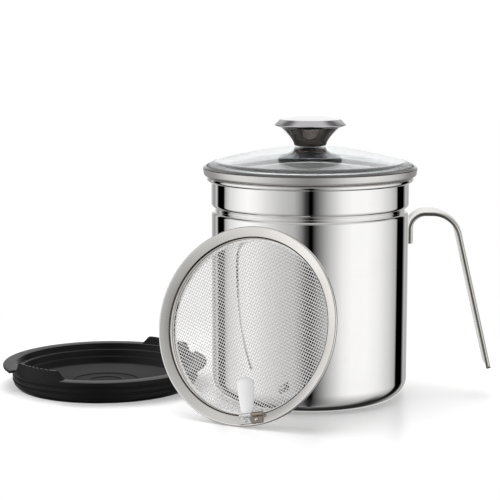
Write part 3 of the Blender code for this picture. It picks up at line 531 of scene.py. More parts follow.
def moulded_skin():
    """The fine pebbled skin of a moulding, with its faint flow clouds."""
    group, given, result = shared_effect("moulded_skin", {"Size": 2200.0}, "Height", "Mask")
    pebbles = add(group, "TexVoronoi", {"Vector": given["Vector"], "Scale": given["Size"], "Randomness": 1.0},
                  feature="SMOOTH_F1")
    cloud = add(group, "TexNoise", {"Vector": given["Vector"], "Scale": 45.0, "Detail": 4.0})
    group.links.new(pebbles.outputs["Distance"], result["Height"])
    group.links.new(cloud.outputs[0], result["Mask"])
    return group


TURNED_GRAIN = turned_grain()
DRAWN_GRAIN = drawn_grain()
HANDLED_FILM = handled_film()
MOULDED_SKIN = moulded_skin()


def finish(name, colour, roughness, metallic, **sockets):
    """A material with its Principled shader set up, the tree it stands in, and the shader."""
    made = bpy.data.materials.new(name)
    made.use_nodes = True
    tree = made.node_tree
    shader = tree.nodes["Principled BSDF"]
    shader.inputs["Base Color"].default_value = (*colour, 1.0)
    shader.inputs["Roughness"].default_value = roughness
    shader.inputs["Metallic"].default_value = metallic
    for key, value in sockets.items():
        shader.inputs[key.replace("_", " ")].default_value = value
    return made, tree, shader


def coordinates(tree, matrix=None):
    """Object coordinates, turned into the frame of a piece if one is given."""
    source = add(tree, "TexCoord").outputs["Object"]
    if matrix is None:
        return source
    mapping = add(tree, "Mapping", {"Vector": source, "Location": matrix.to_translation(),
                                    "Rotation": matrix.to_euler()}, vector_type="TEXTURE")
    return mapping.outputs[0]


def effect(tree, group, **inputs):
    """Place a shared effect in a material with its own values."""
    return add(tree, "Group", inputs, node_tree=group).outputs


def surface(tree, shader, rough_mask, roughness, colour_mask, colours, height, depth):
    """Run a shader's roughness and colour between two values each with masks, and raise its bumps."""
    tree.links.new(ranged(tree, rough_mask, 0.0, 1.0, *roughness), shader.inputs["Roughness"])
    first, second = [(*colour, 1.0) for colour in colours]
    tree.links.new(blend(tree, colour_mask, first, second), shader.inputs["Base Color"])
    bump = add(tree, "Bump", {"Height": height, "Distance": depth, "Strength": 1.0})
    tree.links.new(bump.outputs[0], shader.inputs["Normal"])


def steel(name, light, dark, smooth_low, smooth_high, matrix=None, lines=900.0, depth=0.0000015):
    """Polished or satin steel with turned hair lines and a film of handling."""
    made, tree, shader = finish(name, light, smooth_low, 1.0)
    vector = coordinates(tree, matrix)
    film = effect(tree, HANDLED_FILM, Vector=vector, Size=26.0)["Mask"]
    grain = effect(tree, TURNED_GRAIN, Vector=vector, Lines=lines)["Mask"]
    both = maths(tree, "MULTIPLY_ADD", grain, 1.0 - FILM_SHARE, maths(tree, "MULTIPLY", film, FILM_SHARE))
    surface(tree, shader, both, (smooth_low, smooth_high), both, (light, dark), grain, depth)
    return made


def strip_steel(name, light, dark, smooth_low, smooth_high, matrix=None, depth=0.000004):
    """Satin steel strip with grain along its length."""
    made, tree, shader = finish(name, light, smooth_low, 1.0)
    vector = coordinates(tree, matrix)
    grain = effect(tree, DRAWN_GRAIN, Vector=vector)["Mask"]
    both = maths(tree, "MULTIPLY", grain, effect(tree, HANDLED_FILM, Vector=vector, Size=60.0)["Mask"])
    surface(tree, shader, both, (smooth_low, smooth_high), grain, (light, dark), grain, depth)
    return made


def moulding(name, dark, light, smooth_low, smooth_high, size, depth, **sockets):
    """A moulded black part with a pebbled skin."""
    made, tree, shader = finish(name, dark, smooth_low, 0.0, **sockets)
    skin = effect(tree, MOULDED_SKIN, Vector=coordinates(tree), Size=size)
    surface(tree, shader, skin["Mask"], (smooth_low, smooth_high), skin["Mask"], (dark, light), skin["Height"],
            depth)
    return made


def clear_glass():
    """Clear tempered glass with a faint blue-grey tint, a trace of handling, a dull rim and painted shade darkening
    its outer edge.
    """
    made, tree, shader = finish("clear_glass", GLASS_TINT, 0.0, 0.0, IOR=1.5, Transmission_Weight=1.0)
    vector = coordinates(tree)
    film = effect(tree, HANDLED_FILM, Vector=vector, Size=34.0)["Mask"]
    level = add(tree, "VectorMath", {0: vector, 1: (1.0, 1.0, 0.0)}, operation="MULTIPLY")
    reach = add(tree, "VectorMath", {0: level.outputs[0]}, operation="LENGTH").outputs["Value"]
    rough = maths(tree, "ADD", ranged(tree, film, 0.0, 1.0, 0.0, GLASS_HANDLING),
                  ranged(tree, reach, *GLASS_DULL_SPAN, 0.0, GLASS_DULLNESS))
    tree.links.new(rough, shader.inputs["Roughness"])
    # Painted shade: the base colour turns near-black towards the outer edge of the glass.
    rim = ranged(tree, reach, *GLASS_PAINTED_SHADE_SPAN)
    tree.links.new(blend(tree, rim, (*GLASS_TINT, 1.0), (*GLASS_RIM_PAINTED_SHADE, 1.0)), shader.inputs["Base Color"])
    return made


def paint_facet_highlight(made, matrix):
    """Paint a highlight on one side of the bracket's strip, up to a slanted line across it."""
    tree = made.node_tree
    colour = tree.nodes["Principled BSDF"].inputs["Base Color"]
    x, y, _ = add(tree, "SeparateXYZ", {0: coordinates(tree, matrix)}).outputs
    across = maths(tree, "MULTIPLY_ADD", y, FACET_SLANT, x)
    mask = ranged(tree, across, FACET_EDGE - FACET_BLUR, FACET_EDGE + FACET_BLUR)
    tree.links.new(blend(tree, mask, (*FACET_HIGHLIGHT_COLOUR, 1.0), colour.links[0].from_socket), colour)
    return made


MIRROR_STEEL = steel("mirror_steel", (0.93, 0.925, 0.915), (0.89, 0.885, 0.875), 0.025, 0.055)
INSIDE_STEEL = steel("inside_steel", (0.95, 0.95, 0.94), (0.90, 0.90, 0.89), 0.32, 0.42)
BAND_STEEL = steel("band_steel", (0.88, 0.86, 0.84), (0.80, 0.78, 0.76), 0.42, 0.50)
# Near-black finish for the band's lip: painted shade where the band meets the glass
LIP_PAINTED_SHADE = steel("lip_painted_shade", (0.16, 0.155, 0.155), (0.12, 0.115, 0.115), 0.12, 0.20)
CAP_STEEL = steel("cap_steel", (0.86, 0.84, 0.86), (0.78, 0.76, 0.78), 0.12, 0.22)
# The stem's own dark steel, also used as painted shade on the cap's underside and the ring's bends
STEM_STEEL_AND_PAINTED_SHADE = steel("stem_steel_and_painted_shade", (0.10, 0.085, 0.078), (0.075, 0.064, 0.058), 0.10, 0.17, depth=0.0000005)
HARDWARE_STEEL = steel("hardware_steel", (0.50, 0.52, 0.58), (0.42, 0.44, 0.50), 0.05, 0.12)
RING_STEEL = steel("ring_steel", (0.92, 0.895, 0.865), (0.84, 0.815, 0.785), 0.24, 0.36, STANCE, 1600.0, 0.000003)
CLAMP_STEEL = steel("clamp_steel", (0.92, 0.90, 0.88), (0.86, 0.84, 0.82), 0.06, 0.12, STANCE, 1200.0)
STRAP_STEEL = strip_steel("strap_steel", (0.76, 0.73, 0.69), (0.66, 0.63, 0.59), 0.18, 0.32)
TAB_STEEL = strip_steel("tab_steel", (0.93, 0.93, 0.94), (0.88, 0.88, 0.89), 0.22, 0.32, HINGE, 0.000002)
# The bracket's strip carries a painted highlight on one side.
BRACKET_STEEL = paint_facet_highlight(strip_steel("bracket_steel", (0.46, 0.41, 0.36), (0.37, 0.33, 0.29), 0.2, 0.34, HINGE),
                          HINGE)
WIRE_STEEL = strip_steel("wire_steel", (1.0, 0.99, 0.98), (0.94, 0.93, 0.92), 0.30, 0.42, STANCE, 0.000002)
BRASS = steel("brass_insert", (0.72, 0.55, 0.25), (0.62, 0.46, 0.2), 0.2, 0.35)
SILICONE = moulding("black_silicone", (0.02, 0.02, 0.02), (0.035, 0.035, 0.035), 0.5, 0.62, 3000.0, 0.00001)
PLASTIC = moulding("black_plastic", (0.004, 0.004, 0.005), (0.009, 0.009, 0.010), 0.34, 0.44, 2400.0,
                   0.000025, Specular_IOR_Level=0.16)
PLASTIC_FLOOR = moulding("black_plastic_floor", (0.004, 0.004, 0.005), (0.008, 0.008, 0.009), 0.55, 0.65, 1800.0,
                         0.00005, Specular_IOR_Level=0.10)
GLASS = clear_glass()


def belongs(piece, body, slot, material, *nodes, angle=32.0, mirrored=True):
    """Shade a piece and give it its finish, say whether mirrors show it, hang it on its body and hide the CAD parts
    it stands for.
    """
    only(piece)
    bpy.ops.object.shade_smooth_by_angle(angle=radians(angle))
    piece.data.materials.clear()
    piece.data.materials.append(material)
    piece.visible_glossy = mirrored
    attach(piece, body)
    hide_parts(*nodes)


def partly(piece, material, test):
    """Give a second finish to the faces of a piece that pass a test."""
    piece.data.materials.append(material)
    for face in piece.data.polygons:
        face.material_index = int(test(face))


# Pot

def bead_arcs(band_radius):
    """How far round the shoulder of the bead runs, and how high it stands over the valley."""
    reach = BEAD_SHOULDER + BEAD_VALLEY
    swing = acos(1 - (band_radius - POT_RADIUS + BEAD_DEPTH) / reach)
    return degrees(swing), reach * sin(swing)


def pot_inside(face):
    """Whether a face of the pot is on its inner wall or its inner floor, under the bright band."""
    inward = face.normal.xy.dot(face.center.xy) < 0.0
    floor = face.normal.z > LEVEL_FACE and face.center.z < POT_BASE_CORNER
    return face.center.z < BEAD_HEIGHT + POT_BASE_CORNER and (inward or floor)


def make_pot():
    """The drawn pot with its rolled rim, its bead and its rounded base."""
    roll = (POT_BAND_RADIUS + POT_ROLL_INNER, POT_HEIGHT - POT_ROLL_INNER - POT_WALL)
    upper_swing, upper_rise = bead_arcs(POT_BAND_RADIUS)
    lower_swing, lower_rise = bead_arcs(POT_RADIUS)
    valley = (POT_RADIUS - BEAD_DEPTH + BEAD_VALLEY, BEAD_HEIGHT)
    outline = arc(roll, POT_ROLL_INNER, -100.0, 180.0, 18)
    outline += arc((POT_BAND_RADIUS - BEAD_SHOULDER, BEAD_HEIGHT + upper_rise), BEAD_SHOULDER,
                   0.0, -upper_swing, 8)
    outline += arc(valley, BEAD_VALLEY, 180.0 - upper_swing, 180.0 + lower_swing, 8)[1:]
    outline += arc((POT_RADIUS - BEAD_SHOULDER, BEAD_HEIGHT - lower_rise), BEAD_SHOULDER,
                   lower_swing, 0.0, 8)[1:]
    outline += arc((POT_RADIUS - POT_BASE_CORNER, POT_BASE_CORNER), POT_BASE_CORNER, 0.0, -90.0, 16)
    outline.append((0.0, 0.0))
    pot = turned_sheet("pot_shell", outline, POT_WALL)
    belongs(pot, "pot", "polished_steel", MIRROR_STEEL, "pot_body")
    partly(pot, INSIDE_STEEL, pot_inside)


def make_handle():
    """The strap: a rounded section swept up, over two bends and down the leg to a round end."""
    stub_x = POT_RADIUS + GAP + STRAP_THICKNESS / 2
    crest = STRAP_CREST - STRAP_THICKNESS / 2
    first = Vector((stub_x + STRAP_INNER_BEND, 0.0, crest - STRAP_INNER_BEND))
    second = Vector((first.x + STRAP_TOP_RUN, 0.0, crest - STRAP_OUTER_BEND))
    strap = started(bpy.ops.mesh.primitive_plane_add, "strap_handle", size=1.0,
                    location=(stub_x, 0.0, STRAP_STUB_FOOT))
    in_edit("FACE")
    stretch(STRAP_THICKNESS, STRAP_WIDTH, 1.0)
    bpy.ops.mesh.bevel(affect="VERTICES", offset=STRAP_EDGE, segments=4)
    for step in range(-3, 4):
        select_whole()
        bpy.ops.mesh.bisect(plane_co=(stub_x, step * STRAP_RULING * STRAP_WIDTH, STRAP_STUB_FOOT),
                            plane_no=(0.0, 1.0, 0.0))
    select_whole()
    extrude((0.0, 0.0, first.z - STRAP_STUB_FOOT))
    bpy.ops.mesh.spin(steps=14, angle=pi / 2, center=first, axis=(0.0, -1.0, 0.0))
    extrude((STRAP_TOP_RUN, 0.0, 0.0))
    bpy.ops.mesh.spin(steps=18, angle=pi / 2 - STRAP_LEG_SPLAY, center=second, axis=(0.0, -1.0, 0.0))
    knee_z = second.z + STRAP_OUTER_BEND * sin(STRAP_LEG_SPLAY)
    leg = (knee_z - STRAP_LEG_END) / cos(STRAP_LEG_SPLAY) - STRAP_END_RADIUS
    down = Vector((sin(STRAP_LEG_SPLAY), 0.0, -cos(STRAP_LEG_SPLAY)))
    for _ in range(STRAP_LEG_PARTS):
        extrude(down * (leg / STRAP_LEG_PARTS))
    half = width = STRAP_WIDTH / 2
    reached = 0.0
    for share in STRAP_END_SHARES:
        extrude(down * (STRAP_END_RADIUS * (share - reached)))
        narrowed = half - STRAP_END_RADIUS + STRAP_END_RADIUS * sqrt(max(0.0, 1.0 - share ** 2))
        stretch(1.0, narrowed / width, 1.0)
        width = narrowed
        reached = share
    weld()
    for vert in strap.data.vertices:
        angle = atan2(vert.co.z - first.z, first.x - vert.co.x)
        wrap = 1.0 if vert.co.z < first.z else max(0.0, 1.0 - angle / (pi / 2))
        if vert.co.x < first.x:
            vert.co.x -= wrap * (POT_RADIUS - sqrt(POT_RADIUS ** 2 - vert.co.y ** 2))
    belongs(strap, "pot", "satin_steel", STRAP_STEEL, "pot_handle", angle=40.0, mirrored=False)


# Glass lid

def glass_face(inset):
    """The glass at an inset from its outer face: crown, straight fall and rounded shoulder."""
    sphere = GLASS_SPHERE - inset
    start = 90.0 - degrees(asin(GLASS_HOLE / sphere))
    slope = 90.0 - degrees(GLASS_SLOPE)
    edge = 90.0 - degrees(GLASS_EDGE_SLOPE)
    return (arc((0.0, GLASS_APEX - GLASS_SPHERE), sphere, start, slope, 16)
            + arc(GLASS_SHOULDER_CENTRE, GLASS_SHOULDER_BEND - inset, slope, edge, 14))


def make_glass():
    """The domed glass with its rounded shoulder, its ground edge and its hole."""
    under = glass_face(GLASS_THICKNESS)
    grind = arc((GLASS_RADIUS - GLASS_EDGE_GRIND, GLASS_FOOT + GLASS_EDGE_GRIND), GLASS_EDGE_GRIND,
                0.0, -90.0, 5)
    glass = lathe("dome_glass", glass_face(0.0) + grind + [(under[-1][0], GLASS_FOOT)] + under[::-1], closed=True)
    belongs(glass, "glass_lid", "lid_glass", GLASS, "lid_glass")


def make_band():
    """The rolled steel band round the glass, with its thin lip and its skirt."""
    centre_radius, centre_height = GLASS_SHOULDER_CENTRE
    lip = GLASS_RADIUS - BAND_LIP
    over = GLASS_SHOULDER_BEND + GAP + BAND_SHEET
    outline = [(lip, centre_height + sqrt(over ** 2 - (lip - centre_radius) ** 2))]
    outline += arc((BAND_RADIUS - BAND_CORNER, GLASS_EDGE_TOP + BAND_CORNER), BAND_CORNER, 60.0, 0.0, 8)
    outline += arc((BAND_FOOT_RADIUS - BAND_FOOT_BEND, LID_SEAT + BAND_FOOT_BEND), BAND_FOOT_BEND,
                   0.0, -90.0, 10)
    outline += rounded([outline[-1] + (0.0,), (SKIRT_RADIUS, LID_SEAT, SMALL_FILLET),
                        (SKIRT_RADIUS, LID_SEAT - SKIRT_DEPTH, 0.0)], 5)[1:]
    band = turned_sheet("rolled_band", outline, BAND_SHEET)
    belongs(band, "glass_lid", "polished_steel", BAND_STEEL, "lid_rim_band")
    # Painted shade: the band's upward faces above the glass edge get the near-black lip finish.
    partly(band, LIP_PAINTED_SHADE, lambda face: face.normal.z > TILTED_FACE and face.center.z > GLASS_EDGE_TOP)


def make_knob():
    """The flared stem, with its spigot and its bores, and the domed cap."""
    bore = INSERT_RADIUS + GAP
    recess = SEAL_RADIUS + GAP
    ceiling = INSERT_FOOT + INSERT_LENGTH + GAP
    spigot_top = STEM_TOP + SPIGOT_HEIGHT
    outline = [(0.0, spigot_top), (SPIGOT_RADIUS, spigot_top), (SPIGOT_RADIUS, STEM_TOP)]
    for step in range(STEM_FLARE_STEPS + 1):
        share = 1.0 - step / STEM_FLARE_STEPS
        radius = STEM_WAIST_RADIUS + (STEM_TOP_RADIUS - STEM_WAIST_RADIUS) * share ** STEM_FLARE_POWER
        outline.append((radius, KNOB_BASE + STEM_FOOT_ROUND + (STEM_HEIGHT - STEM_FOOT_ROUND) * share))
    outline += arc((STEM_FOOT_RADIUS, KNOB_BASE + STEM_FOOT_ROUND), STEM_FOOT_ROUND, -10.0, -90.0, 5)
    outline += [(recess, KNOB_BASE), (recess, SEAL_SEAT), (bore, SEAL_SEAT), (bore, ceiling), (0.0, ceiling)]
    belongs(lathe("flared_stem", outline, MIDDLE_TURN), "glass_lid", "dark_steel", STEM_STEEL_AND_PAINTED_SHADE, "knob_stem")

    base = STEM_TOP + GAP
    edge = base + CAP_UNDER_BEVEL
    shoulder = edge + CAP_BEVEL_HEIGHT
    sphere = (CAP_TOP_RADIUS ** 2 + CAP_DOME ** 2) / (2 * CAP_DOME)
    socket = SPIGOT_RADIUS + GAP
    radii = [(CAP_TOP_RADIUS - CAP_CROWN_MARGIN) * step / CAP_CROWN_STEPS for step in range(CAP_CROWN_STEPS + 1)]
    crown = [(radius, dome(radius, shoulder + CAP_DOME, sphere)) for radius in radii]
    rim = rounded([(*crown[-1], 0.0), (CAP_TOP_RADIUS, shoulder, LARGE_FILLET), (CAP_RADIUS, edge, SMALL_FILLET),
                   (STEM_TOP_RADIUS + CAP_UNDER_BEVEL, base, SMALL_FILLET), (socket, base, 0.0),
                   (socket, base + SPIGOT_HEIGHT, 0.0), (0.0, base + SPIGOT_HEIGHT, 0.0)], 5)
    cap = lathe("domed_cap", crown + rim[1:], MIDDLE_TURN)
    belongs(cap, "glass_lid", "polished_steel", CAP_STEEL, "knob_cap", angle=24.0)
    # Painted shade: the cap's downward faces take the dark stem steel.
    partly(cap, STEM_STEEL_AND_PAINTED_SHADE, lambda face: face.normal.z < -TILTED_FACE)


def make_hardware():
    """What holds the knob on the glass: two washers, a cupped washer and the screw."""
    round_edge = SEAL_THICKNESS / 2
    washer = [(GLASS_HOLE, KNOB_BASE + SEAL_THICKNESS)]
    washer += arc((SEAL_RADIUS - round_edge, KNOB_BASE + round_edge), round_edge, 90.0, -90.0, 6)
    seal = lathe("knob_washer", washer + [(GLASS_HOLE, KNOB_BASE)], MIDDLE_TURN, closed=True)
    belongs(seal, "glass_lid", "black_silicone", SILICONE, "knob_seal")

    gasket_edge = dome(GASKET_RADIUS, GLASS_UNDERSIDE, GLASS_SPHERE - GLASS_THICKNESS) - GAP
    gasket = lathe("under_gasket", [(GLASS_HOLE, GLASS_UNDERSIDE - GAP), (GASKET_RADIUS, gasket_edge),
                                    (GASKET_RADIUS, CUP_TOP + GAP), (GLASS_HOLE, CUP_TOP + GAP)],
                   MIDDLE_TURN, closed=True)
    belongs(gasket, "glass_lid", "black_silicone", SILICONE, "lid_gasket")

    cup = [(GLASS_HOLE, CUP_TOP), (CUP_FLAT_RADIUS, CUP_TOP)]
    cup += arc((CUP_FLAT_RADIUS, CUP_TOP - CUP_SHEET), CUP_SHEET, 80.0, 30.0, 5)
    cup.append((CUP_RIM_RADIUS, CUP_TOP - CUP_DEPTH))
    belongs(turned_sheet("cup_washer", cup, CUP_SHEET, MIDDLE_TURN), "glass_lid", "polished_steel",
            HARDWARE_STEEL, "retaining_cup")

    tip = INSERT_FOOT + INSERT_LENGTH - SCREW_TIP_MARGIN
    foot = SCREW_HEAD_TOP - SCREW_HEAD_HEIGHT
    shank = [(0.0, tip), (SCREW_RADIUS - SCREW_TIP_CHAMFER, tip), (SCREW_RADIUS, tip - SCREW_TIP_CHAMFER),
             (SCREW_RADIUS, SCREW_HEAD_TOP), (SCREW_HEAD_RADIUS, SCREW_HEAD_TOP)]
    head = low_dome(SCREW_HEAD_RADIUS, SCREW_HEAD_TOP, -SCREW_HEAD_HEIGHT, (12, 24, 36, 48, 60, 75))
    screw = lathe("pan_screw", shank + head + [(0.0, foot)], MIDDLE_TURN)
    for turn in (0.0, pi / 2):
        blade = started(bpy.ops.mesh.primitive_cube_add, "driver_slot", size=1.0, location=(0.0, 0.0, foot),
                        rotation=(0.0, 0.0, turn))
        in_edit("FACE")
        stretch(*SCREW_SLOT)
        out_of_edit()
        combine(screw, blade, "DIFFERENCE")
    belongs(screw, "glass_lid", "polished_steel", HARDWARE_STEEL, "knob_screw")


# Strainer

def ring_bend(face):
    """Whether a face of the ring, in its own frame, is on the bends between its flange and its foot, where shade is
    painted.
    """
    radius = face.center.xy.length
    inward = -face.normal.xy.dot(face.center.xy) / radius
    return radius < RING_FLANGE_INNER + RING_BEND_MARGIN and 0.2 < inward < 0.93 and face.normal.z > 0.2


def make_ring():
    """The pressed ring of the strainer and, in two halves, the ring that clamps the net under it."""
    wall_foot = -RING_DISH - RING_WALL_DEPTH
    bend = RING_FLANGE_INNER - RING_WALL_RADIUS
    edge = (RING_RADIUS - RING_EDGE_ROUND, -RING_EDGE_ROUND)
    corners = [(RING_WALL_RADIUS - RING_FOOT, wall_foot, 0.0), (RING_WALL_RADIUS, wall_foot, SMALL_FILLET),
               (RING_WALL_RADIUS, -RING_DISH - bend, SMALL_FILLET), (RING_FLANGE_INNER, -RING_DISH, LARGE_FILLET),
               (edge[0] - RING_EDGE_ROUND * RING_CROWN_SHARE, 0.0, 0.0)]
    outline = rounded(corners, 5)[:-1] + arc(edge, RING_EDGE_ROUND, 108.0, 0.0, 9)
    outline.append((RING_RADIUS, -RING_EDGE_ROUND - RING_LIP))
    ring = turned_sheet("pressed_ring", outline, RING_SHEET, level=True)
    bends = [ring_bend(face) for face in ring.data.polygons]
    place(ring, STANCE)
    belongs(ring, "strainer", "satin_steel", RING_STEEL, "strainer_ring", mirrored=False)
    # Painted shade: the bends between flange and foot take the dark stem steel.
    partly(ring, STEM_STEEL_AND_PAINTED_SHADE, lambda face: bends[face.index])

    corners = [(CLAMP_RADIUS, CLAMP_FACE + CLAMP_HEIGHT, 0.0), (CLAMP_RADIUS, CLAMP_FACE, LARGE_FILLET),
               (CLAMP_RADIUS - CLAMP_SHEET - CLAMP_FOOT, CLAMP_FACE, 0.0)]
    for name, away, mirrored in (("clamp_band_lit", -1.0, True), ("clamp_band_shaded", 1.0, False)):
        clamp = turned_sheet(name, rounded(corners, 5), CLAMP_SHEET)
        in_edit("FACE")
        bpy.ops.mesh.bisect(plane_co=(0.0, 0.0, 0.0), plane_no=CLAMP_CUT * away, use_fill=True, clear_inner=True)
        out_of_edit()
        place(clamp, STANCE)
        belongs(clamp, "strainer", "satin_steel", CLAMP_STEEL, "net_clamp_ring", mirrored=mirrored)


def make_wires(name, quarter, run, gap, shift):
    """One direction of the woven net: a waved wire, repeated, and trimmed to the ring."""
    half_run = 2 * int(WEAVE_REACH / run / 2 + 2)
    half_gap = 2 * int(WEAVE_REACH / gap / 2 + 2)
    wires = started(bpy.ops.mesh.primitive_circle_add, name, vertices=4, radius=WEAVE_WIRE, fill_type="NOTHING",
                    location=(-half_run * run, -half_gap * gap, WEAVE_WIRE), rotation=(0.0, pi / 2, 0.0))
    bpy.ops.object.transform_apply(location=True, rotation=True, scale=True)
    in_edit("EDGE")
    stretch(1.0, WEAVE_HALF_WIDTH / WEAVE_WIRE, 1.0)
    for rise in (-WEAVE_WIRE, -WEAVE_WIRE, WEAVE_WIRE, WEAVE_WIRE):
        extrude((run / 2, 0.0, rise))
    out_of_edit()
    repeats = ((half_run + 1, (2 * run, 0.0)), (2, (run, gap)), (half_gap + 1, (0.0, 2 * gap)))
    for count, (across, along) in repeats:
        apply_modifier(wires, "ARRAY", count=count, use_relative_offset=False, use_constant_offset=True,
                       constant_offset_displace=(across, along, 0.0), use_merge_vertices=True,
                       merge_threshold=MERGE)
    place(wires, Matrix.Rotation(quarter, 4, "Z") @ Matrix.Translation((shift, 0.0, 0.0)))
    in_edit()
    bpy.ops.mesh.normals_make_consistent(inside=False)
    pick(wires, "verts", lambda vert: hypot(vert.co.x, vert.co.y) > WEAVE_REACH)
    bpy.ops.mesh.delete(type="VERT")
    select_whole()
    bpy.ops.mesh.fill_holes(sides=4)
    out_of_edit()
    turn = Matrix.Rotation(WEAVE_TURN, 4, "Z")
    place(wires, STANCE @ Matrix.Translation((0.0, 0.0, NET_TOP - NET_THICKNESS / 2)) @ turn)
    belongs(wires, "strainer", "steel_wire", WIRE_STEEL, "strainer_net", angle=75.0, mirrored=False)


def make_tab():
    """The lift tab with its knuckle, and the rivets of its bracket."""
    width = TAB_KNUCKLE_LENGTH / 2 - KNUCKLE_SINK
    neck = KNUCKLE_RADIUS + GAP
    free = TAB_LENGTH - neck
    tab = started(bpy.ops.mesh.primitive_plane_add, "folding_tab", size=1.0)
    in_edit("EDGE")
    stretch(2 * width, neck, 1.0)
    bpy.ops.transform.translate(value=(-TAB_KNUCKLE_OFFSET, neck / 2, 0.0))
    pick(tab, "edges", lambda edge: all(vert.co.y > neck / 2 for vert in edge.verts))
    reached = 0.0
    for along, share in TAB_STATIONS:
        extrude((0.0, (along - reached) * free, 0.0))
        stretch(share * TAB_WIDTH / 2 / width, 1.0, 1.0)
        reached = along
        width = share * TAB_WIDTH / 2
    out_of_edit()
    apply_modifier(tab, "SOLIDIFY", thickness=TAB_SHEET, offset=0.0)
    apply_modifier(tab, "BEVEL", width=TAB_EDGE_BEVEL, segments=3, limit_method="ANGLE", angle_limit=radians(50.0))
    place(tab, Matrix.Translation((0.0, 0.0, -KNUCKLE_RADIUS + KNUCKLE_SINK + TAB_SHEET / 2)))
    combine(tab, rod("tab_barrel", KNUCKLE_RADIUS, TAB_KNUCKLE_LENGTH, TAB_MIDDLE), "UNION")
    combine(tab, rod("tab_bore", PIN_RADIUS + GAP, TAB_WIDTH, TAB_MIDDLE), "DIFFERENCE")
    place(tab, HINGE)
    belongs(tab, "tab", "bright_steel", TAB_STEEL, "lift_tab", angle=40.0, mirrored=False)

    head_low = -KNUCKLE_RADIUS - BRACKET_CLEARANCE - RING_SHEET - GAP
    head_high = -KNUCKLE_RADIUS + KNUCKLE_SINK + BRACKET_SHEET + GAP
    domed = low_dome(RIVET_HEAD_RADIUS, head_high, RIVET_HEAD_HEIGHT, (90, 72, 54, 36, 18, 0))
    under = [(radius, head_low + head_high - height) for radius, height in domed[::-1]]
    outline = domed + [(RIVET_RADIUS, head_high), (RIVET_RADIUS, head_low)] + under
    for side, x in (("left", -RIVET_SPACING / 2), ("right", RIVET_SPACING / 2)):
        rivet = lathe("domed_rivet_" + side, outline, SMALL_TURN)
        place(rivet, BRACKET @ Matrix.Translation((x, -RIVET_SETBACK, 0.0)))
        belongs(rivet, "strainer", "satin_steel", RING_STEEL, "tab_rivet_" + side)


# Storage lid

def store_outline():
    """Section of the storage lid with softened corners."""
    corners = [(0.0, STORE_FLOOR, 0.0)]
    half = STORE_RING_WIDTH / 2
    for radius in STORE_RING_RADII:
        corners += [(radius - STORE_RING_WIDTH, STORE_FLOOR, SMALL_FILLET),
                    (radius - half, STORE_FLOOR + STORE_RING_HEIGHT, TIGHT_FILLET),
                    (radius + half, STORE_FLOOR + STORE_RING_HEIGHT, TIGHT_FILLET),
                    (radius + STORE_RING_WIDTH, STORE_FLOOR, SMALL_FILLET)]
    inner = STORE_PLUG_RADIUS - STORE_WALL
    rise = (STORE_HEIGHT - STORE_FLOOR) / STORE_RIB_COUNT
    radius = inner - (STORE_RIB_COUNT - 1) * STORE_STEP
    height = STORE_FLOOR
    corners.append((radius - STORE_STEP, height, TIGHT_FILLET))
    for step in range(STORE_RIB_COUNT):
        corners.append((radius - STORE_STEP / 4, height + STORE_STEP / 4, TIGHT_FILLET))
        height += rise
        if step < STORE_RIB_COUNT - 1:
            corners.append((radius, height, MIDDLE_FILLET))
        radius += STORE_STEP
    flange_low = STORE_HEIGHT - STORE_FLANGE
    corners += [(inner, STORE_HEIGHT, BROAD_FILLET), (STORE_RADIUS, STORE_HEIGHT, BROAD_FILLET),
                (STORE_RADIUS, flange_low, BROAD_FILLET), (STORE_PLUG_RADIUS, flange_low, SMALL_FILLET)]
    span = (flange_low - STORE_BASE_CORNER) / STORE_RIB_COUNT
    groove = STORE_PLUG_RADIUS - STORE_GROOVE_DEPTH
    for rib in range(1, STORE_RIB_COUNT):
        line = flange_low - rib * span
        corners += [(STORE_PLUG_RADIUS, line + STORE_GROOVE_DEPTH, SMALL_FILLET), (groove, line, SMALL_FILLET),
                    (STORE_PLUG_RADIUS, line - STORE_GROOVE_DEPTH, SMALL_FILLET)]
    corners += [(groove, STORE_BASE_CORNER, BROAD_FILLET), (STORE_BASE_RADIUS, 0.0, BROAD_FILLET),
                (0.0, 0.0, 0.0)]
    return rounded(corners, 3)


def grip_bar(name, foot_half, top_half, low, high):
    """A bar across the whole lid, narrower at its top, that picks out the two grips."""
    bar = started(bpy.ops.mesh.primitive_cube_add, name, size=1.0, location=(0.0, 0.0, (low + high) / 2))
    in_edit("FACE")
    stretch(2 * (STORE_RADIUS + STORE_OVERRUN), 2 * foot_half, high - low)
    pick(bar, "faces", lambda face: face.normal.z > 0.5)
    stretch(1.0, top_half / foot_half, 1.0)
    out_of_edit()
    place(bar, Matrix.Rotation(GRIP_BEARING, 4, "Z"))
    return bar


